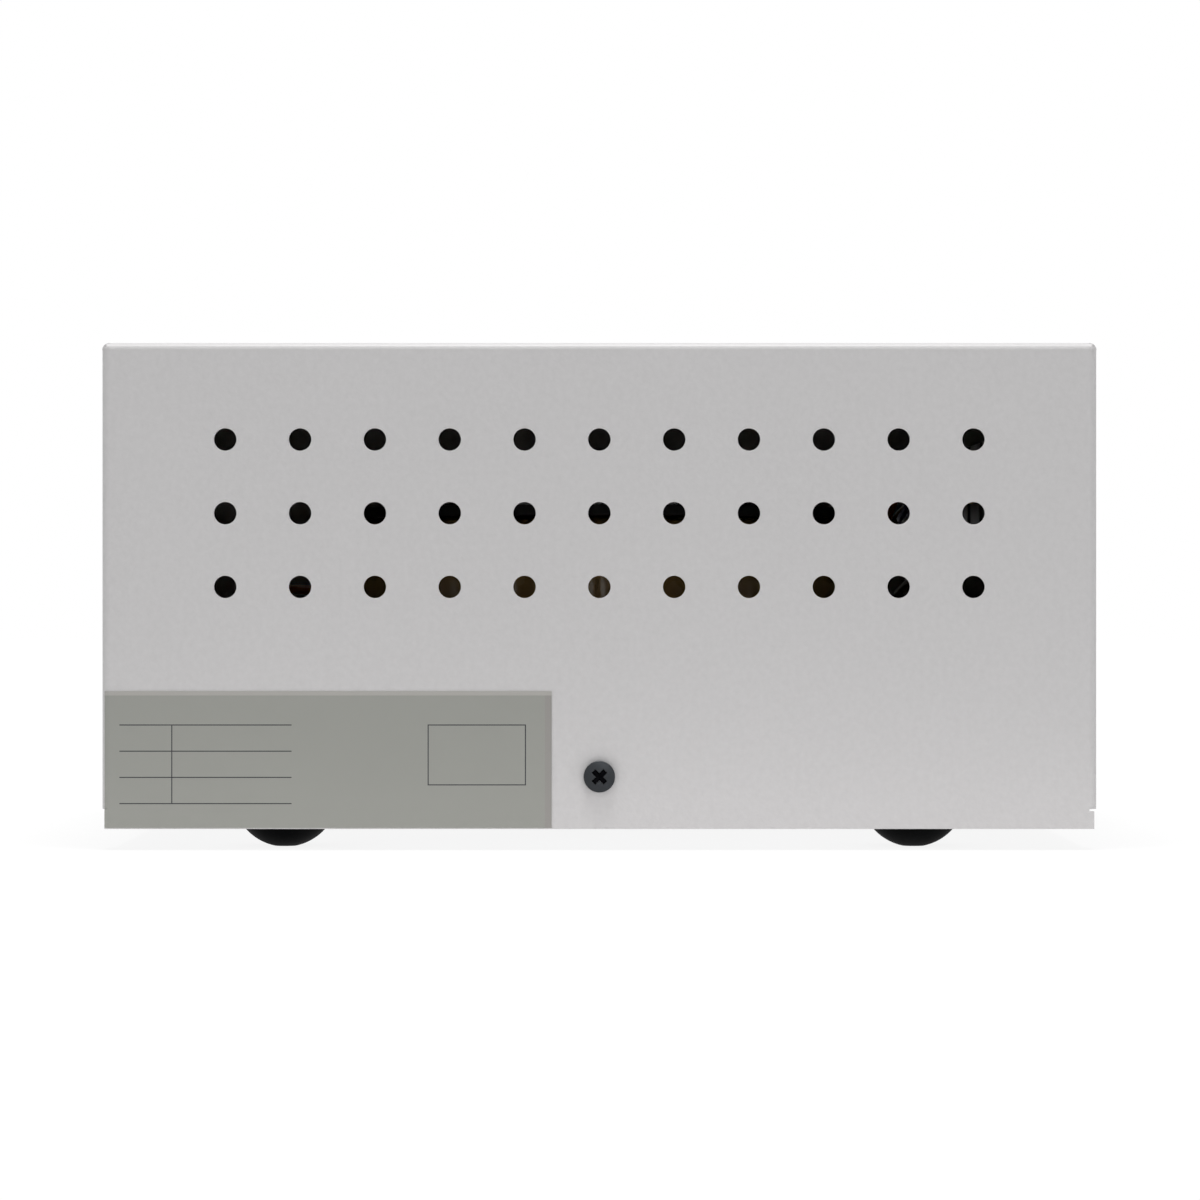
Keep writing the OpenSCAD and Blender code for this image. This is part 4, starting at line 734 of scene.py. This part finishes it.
def filled_outline(outline, longest):
    """A closed outline with points added on every side that is longer than a length."""
    filled = []
    for p, q in zip(outline, np.roll(outline, -1, 0)):
        count = max(1, int(np.linalg.norm(q - p) / longest))
        filled += [p + (q - p) * k / count for k in range(count)]
    return np.array(filled)


def lapped_tape(detail):
    """Outer wrap of the ring: a tape wound round its section while it goes round the ring.

    The section is a rectangle with round corners. A point at angle a and at share s of the way
    round the section lies below the ring's skin by the tape's step times the part left over of
    turns * a + s, which falls back steeply where the next lap begins."""
    low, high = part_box("outer_wrap")
    outer, inner, corner = high.x, 24.3 * MM, 14.7 * MM
    rings_a_turn, fall = 12, 9
    mid_z, half_h = (low.z + high.z) / 2, (high.z - low.z) / 2
    mid_r, half_w = (outer + inner) / 2, (outer - inner) / 2
    in_x, in_z = half_w - corner, half_h - corner
    corners = [(in_x, in_z, 0), (-in_x, in_z, 90), (-in_x, -in_z, 180), (in_x, -in_z, 270)]
    arcs = [arc(cx, cz, corner, a, a + 90, count=14) for cx, cz, a in corners]
    outline = filled_outline(np.concatenate(arcs), longest=4 * MM)
    after, before = np.roll(outline, -1, 0), np.roll(outline, 1, 0)
    tangent = after - before
    tangent /= np.linalg.norm(tangent, axis=1)[:, None]
    inwards = np.stack([-tangent[:, 1], tangent[:, 0]], axis=-1)
    run = np.cumsum(np.linalg.norm(after - outline, axis=1))
    s = np.concatenate([[0], run[:-1]]) / run[-1]
    a = full_turn(detail.tape_turns * rings_a_turn)
    phase = (detail.tape_turns * a[:, None] / (2 * np.pi) + s[None, :]) % 1.0
    sink = detail.tape_step * np.clip(np.minimum(phase, (1 - phase) * fall), 0, 1)
    r = mid_r + outline[None, :, 0] + sink * inwards[None, :, 0]
    z = mid_z + outline[None, :, 1] + sink * inwards[None, :, 1]
    rings = np.stack([r * np.cos(a)[:, None], r * np.sin(a)[:, None], z], axis=-1)
    mesh = build_mesh("lapped_tape", [ring_skin(rings, closed=True)], sharp=60.0)
    settle(linked_object("lapped_tape", mesh), "housing", "wrap_film", ["outer_wrap"])


def rocker_marks(detail):
    """Generic bar and ring on the rocker's two faces, each a thin raised print.

    The faces meet in a valley. The lower one is upright and the upper one leans out by the whole
    tilt. The bar is a slot outline with two levels, and the ring a rectangle carried round."""
    tilt, rise, sunk, count = math.radians(22), 0.05 * MM, -0.1 * MM, 48
    low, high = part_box("switch_rocker")
    pivot, reach, far = joints["rocker_tilt"]["pos_m"], detail.valley_reach, detail.mark_place
    valley = np.array([pivot[0] - reach, (low.y + high.y) / 2,
                       pivot[2] - reach * math.tan(tilt / 2)])
    lower_out = np.array([-1.0, 0, 0])
    upper_out = np.array([-math.cos(tilt), 0, -math.sin(tilt)])
    upper_up = np.array([-math.sin(tilt), 0, math.cos(tilt)])
    right = (0.0, -1.0, 0.0)
    a = full_turn(count)
    half = detail.mark_line / 2
    middle = detail.mark_size / 2 - half
    section = np.array([[middle - half, sunk], [middle + half, sunk], [middle + half, rise],
                        [middle - half, rise]])
    ring = np.stack([section[:, :1] * np.cos(a), section[:, :1] * np.sin(a),
                     section[:, 1:] + 0 * a], -1)
    # A circle's two halves, moved apart along the bar. The tiny term sends angle zero upwards.
    apart = middle * np.sign(np.sin(a) + 1e-9)
    outline = np.stack([half * np.cos(a), half * np.sin(a) + apart], -1)
    bar = np.stack([np.concatenate([outline, np.full((count, 1), z)], -1) for z in (sunk, rise)])
    skins = [ring_skin(on_plane(ring, valley - [0, 0, far], right, lower_out), closed=True),
             ring_skin(on_plane(bar, valley + far * upper_up, right, upper_out))]
    obj = linked_object("rocker_marks", build_mesh("rocker_marks", skins))
    settle(obj, "rocker", "button_white")


def printed_number(name, digits, size, centre, right, out):
    """Digits as a thin raised print, with their middle at a point of a flat face."""
    curve = bpy.data.curves.new(name, "FONT")
    curve.body = digits
    curve.size = size
    curve.align_x, curve.align_y = "CENTER", "CENTER"
    curve.extrude = 0.03 * MM
    curve.resolution_u = 4
    drawn = linked_object(name + "_drawn", curve)
    depsgraph = bpy.context.evaluated_depsgraph_get()
    mesh = bpy.data.meshes.new_from_object(drawn.evaluated_get(depsgraph))
    bpy.data.objects.remove(drawn)
    mesh.name = name
    points = np.empty(3 * len(mesh.vertices))
    mesh.vertices.foreach_get("co", points)
    points = on_plane(points.reshape(-1, 3), centre, right, out)
    mesh.vertices.foreach_set("co", points.ravel())
    mesh.update()
    return linked_object(name, mesh)


def selector_numbers(detail):
    """The two voltages on the selector's rim, one over each end of the slider's travel."""
    low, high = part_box("selector_body")
    z = (high.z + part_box("selector_slider")[1].z) / 2
    middle = (low.y + high.y) / 2
    for digits, side in (("115", -1), ("230", 1)):
        centre = (high.x, middle + side * detail.digit_place, z)
        obj = printed_number("selector_" + digits, digits, detail.digit_size, centre,
                             (0.0, 1.0, 0.0), (1.0, 0.0, 0.0))
        settle(obj, "housing", "button_white")


# Operators


class Piece:
    """What the operators of pieces share."""
    bl_options = {"REGISTER"}

    @staticmethod
    def detail(context):
        return context.scene.transformer_detail


class TRANSFORMER_OT_cover(Piece, Operator):
    """Rounds the cover's sheet edges and vent holes, closes up its corners and paints it"""
    bl_idname = "transformer.cover"
    bl_label = "Cover"

    def execute(self, context):
        detail = self.detail(context)
        join_mesh(soften("cover", detail.sheet_edge), corner_folds(detail))
        return {"FINISHED"}


class TRANSFORMER_OT_rating_plate(Piece, Operator):
    """Finishes the rating plate's foil"""
    bl_idname = "transformer.rating_plate"
    bl_label = "Rating Plate"

    def execute(self, context):
        dress("rating_label")
        return {"FINISHED"}


class TRANSFORMER_OT_cover_screws(Piece, Operator):
    """Makes the cover's pan-head screws with their cross recess"""
    bl_idname = "transformer.cover_screws"
    bl_label = "Cover Screws"

    def execute(self, context):
        screws(self.detail(context))
        return {"FINISHED"}


class TRANSFORMER_OT_feet(Piece, Operator):
    """Makes the domed rubber feet"""
    bl_idname = "transformer.feet"
    bl_label = "Feet"

    def execute(self, context):
        for name in ("foot_front_left", "foot_front_right", "foot_rear_left", "foot_rear_right"):
            foot(name)
        return {"FINISHED"}


class TRANSFORMER_OT_chassis(Piece, Operator):
    """Rounds the chassis and the end panels and finishes their fasteners"""
    bl_idname = "transformer.chassis"
    bl_label = "Chassis and End Panels"

    def execute(self, context):
        soften_all(self.detail(context).sheet_edge, "chassis", "front_panel", "rear_panel")
        dress("cover_nuts", "panel_screws", "panel_nuts", "foot_studs", "foot_nuts",
              "block_screws", "earth_nut", "earth_stud")
        return {"FINISHED"}


class TRANSFORMER_OT_ring(Piece, Operator):
    """Winds the ring's tape and finishes its layers, pads and fixing"""
    bl_idname = "transformer.ring"
    bl_label = "Toroidal Transformer"

    def execute(self, context):
        detail = self.detail(context)
        lapped_tape(detail)
        soften_all(detail.metal_edge, "clamp_dish", "centre_bolt", "centre_nut", "centre_washers",
                   "lower_pad", "upper_pad")
        dress("toroid_core", "core_insulation", "primary_winding", "primary_insulation",
              "electrostatic_shield", "shield_insulation", "secondary_winding")
        return {"FINISHED"}


class TRANSFORMER_OT_sockets(Piece, Operator):
    """Finishes the mains inlet and the outlets"""
    bl_idname = "transformer.sockets"
    bl_label = "Inlet and Outlets"

    def execute(self, context):
        soften_all(self.detail(context).moulding_edge, "inlet_body", "outlet_1", "outlet_2",
                   "outlet_3", "outlet_4")
        dress("inlet_pins", "inlet_screws", "outlet_contacts")
        return {"FINISHED"}


class TRANSFORMER_OT_controls(Piece, Operator):
    """Finishes the power switch, pilot lamp, voltage selector and circuit breakers"""
    bl_idname = "transformer.controls"
    bl_label = "Controls"

    def execute(self, context):
        detail = self.detail(context)
        soften_all(detail.moulding_edge, "switch_housing", "switch_rocker", "selector_body",
                   "selector_slider", "input_breaker", "output_breaker")
        soften_all(detail.metal_edge, "input_reset_button", "output_reset_button", "breaker_nuts",
                   "lamp_body", "lamp_nut")
        dress("lamp_lens", "spade_tabs")
        rocker_marks(detail)
        selector_numbers(detail)
        return {"FINISHED"}


class TRANSFORMER_OT_wiring(Piece, Operator):
    """Finishes the internal leads, their ties and the terminal block"""
    bl_idname = "transformer.wiring"
    bl_label = "Wiring"

    def execute(self, context):
        soften_all(self.detail(context).moulding_edge, "terminal_block")
        dress("terminal_screws", "line_leads", "neutral_leads", "earth_leads", "winding_leads",
              "cable_ties")
        return {"FINISHED"}


# Stage


def soft_box(name, place, target, size, power_w, tint=(1.0, 1.0, 1.0), glossy=True):
    """A rectangular area light that faces a target and that the camera doesn't see."""
    data = bpy.data.lights.new(name, "AREA")
    data.shape = "RECTANGLE"
    data.size, data.size_y = size
    data.energy = power_w
    data.color = tint
    lamp = linked_object(name, data)
    lamp.location = place
    lamp.rotation_euler = (Vector(target) - Vector(place)).to_track_quat("-Z", "Y").to_euler()
    lamp.visible_camera = False
    lamp.visible_glossy = glossy


def seen_or_mirrored(tree):
    """One for camera, glossy and transmission rays, which all meet the white background."""
    path = add(tree, "LightPath")
    total = maths(tree, "MAXIMUM", (path, "Is Camera Ray"), (path, "Is Glossy Ray"))
    return maths(tree, "MAXIMUM", total, (path, "Is Transmission Ray"))


def white_world(settings):
    """Even light on the object, and plain white where the background is seen."""
    world = bpy.data.worlds.new("studio")
    bpy.context.scene.world = world
    world.use_nodes = True
    tree = world.node_tree
    background = tree.nodes["Background"]
    background.inputs["Color"].default_value = rgba((1.0, 1.0, 1.0))
    level = add(tree, "MapRange", {"Value": seen_or_mirrored(tree), "To Min": settings.ambient,
                                   "To Max": 1.0})
    wire(tree, (level, "Result"), background, "Strength")


def white_floor():
    """A large pale floor that is nearly white to the camera and still takes a shadow.

    To the camera it glows, by a share that grows to one away from the object."""
    half, glow_strength, near_share = 6.0, 1.03, 0.85
    mesh = bpy.data.meshes.new("floor")
    mesh.from_pydata([(-half, -half, 0), (half, -half, 0), (half, half, 0), (-half, half, 0)], [],
                     [(0, 1, 2, 3)])
    floor = linked_object("floor", mesh)
    material = bpy.data.materials.new("floor_white")
    material.use_nodes = True
    tree = material.node_tree
    tree.nodes.clear()
    away = add(tree, "VectorMath", {0: coordinates(tree)}, operation="LENGTH")
    fade = add(tree, "MapRange", {"Value": (away, "Value"), "From Min": 0.2, "From Max": 0.5,
                                  "To Min": near_share, "To Max": 1.0},
               interpolation_type="SMOOTHSTEP")
    share = maths(tree, "MULTIPLY", seen_or_mirrored(tree), (fade, "Result"))
    matt = add(tree, "BsdfDiffuse", {"Color": rgba((0.8, 0.8, 0.8))})
    glow = add(tree, "Emission", {"Color": rgba((1.0, 1.0, 1.0)), "Strength": glow_strength})
    mix = add(tree, "MixShader", {0: share, 1: (matt, 0), 2: (glow, 0)})
    add(tree, "OutputMaterial", {0: (mix, 0)})
    mesh.materials.append(material)


def straight_camera(settings, near):
    """A camera that looks along +Y at the near side, level and straight on."""
    data = bpy.data.cameras.new("camera")
    data.sensor_width = 36.0
    data.lens = data.sensor_width * settings.distance / settings.field
    data.clip_end = 100.0
    camera = linked_object("camera", data)
    camera.location = (settings.eye_side, near - settings.distance, settings.eye_height)
    camera.rotation_euler = (math.radians(90), 0.0, 0.0)
    bpy.context.scene.camera = camera


class TRANSFORMER_OT_stage(Operator):
    """Sets the camera, the soft light, the white background and the floor"""
    bl_idname = "transformer.stage"
    bl_label = "Stage"

    def execute(self, context):
        settings = context.scene.transformer_stage
        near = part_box("cover")[0].y
        straight_camera(settings, near)
        context.scene.view_settings.view_transform = "Standard"
        middle = (0.0, 0.0, 70 * MM)
        card_y, card_z, card_size = near - 22 * MM, 0.5 * MM, (320 * MM, 40 * MM)
        soft_box("overhead", (0.0, -0.25, 1.5), middle, (0.6, 0.6), settings.top_power)
        soft_box("key", (0.5, -1.3, 1.1), middle, (0.7, 0.7), settings.key_power)
        soft_box("bounce", (0.0, card_y, card_z), (0.0, card_y, 1.0), card_size,
                 settings.bounce_power, tint=(1.0, 0.955, 0.96), glossy=False)
        white_world(settings)
        white_floor()
        return {"FINISHED"}


OPERATORS = (TRANSFORMER_OT_cover, TRANSFORMER_OT_rating_plate, TRANSFORMER_OT_cover_screws,
             TRANSFORMER_OT_feet, TRANSFORMER_OT_chassis, TRANSFORMER_OT_ring,
             TRANSFORMER_OT_sockets, TRANSFORMER_OT_controls, TRANSFORMER_OT_wiring,
             TRANSFORMER_OT_stage)


class TRANSFORMER_PT_pieces(Panel):
    """Lists the operators and their settings in the 3D view's sidebar."""
    bl_idname = "TRANSFORMER_PT_pieces"
    bl_label = "Isolation Transformer"
    bl_space_type = "VIEW_3D"
    bl_region_type = "UI"
    bl_category = "Transformer"

    def draw(self, context):
        column = self.layout.column()
        for operator in OPERATORS:
            column.operator(operator.bl_idname)
        for group in (context.scene.transformer_finish, context.scene.transformer_detail,
                      context.scene.transformer_stage):
            box = self.layout.box()
            for name in group.__annotations__:
                box.prop(group, name)


CLASSES = (FinishSettings, DetailSettings, StageSettings, *OPERATORS, TRANSFORMER_PT_pieces)


def register():
    """Registers the classes and hangs the settings on the scene."""
    for cls in CLASSES:
        bpy.utils.register_class(cls)
    bpy.types.Scene.transformer_finish = PointerProperty(type=FinishSettings)
    bpy.types.Scene.transformer_detail = PointerProperty(type=DetailSettings)
    bpy.types.Scene.transformer_stage = PointerProperty(type=StageSettings)


def unregister():
    """Removes the settings and the classes."""
    del bpy.types.Scene.transformer_stage
    del bpy.types.Scene.transformer_detail
    del bpy.types.Scene.transformer_finish
    for cls in reversed(CLASSES):
        bpy.utils.unregister_class(cls)


def main():
    """Makes every piece and the stage."""
    register()
    for operator in OPERATORS:
        group, name = operator.bl_idname.split(".")
        getattr(getattr(bpy.ops, group), name)()


if __name__ == "__main__":
    main()
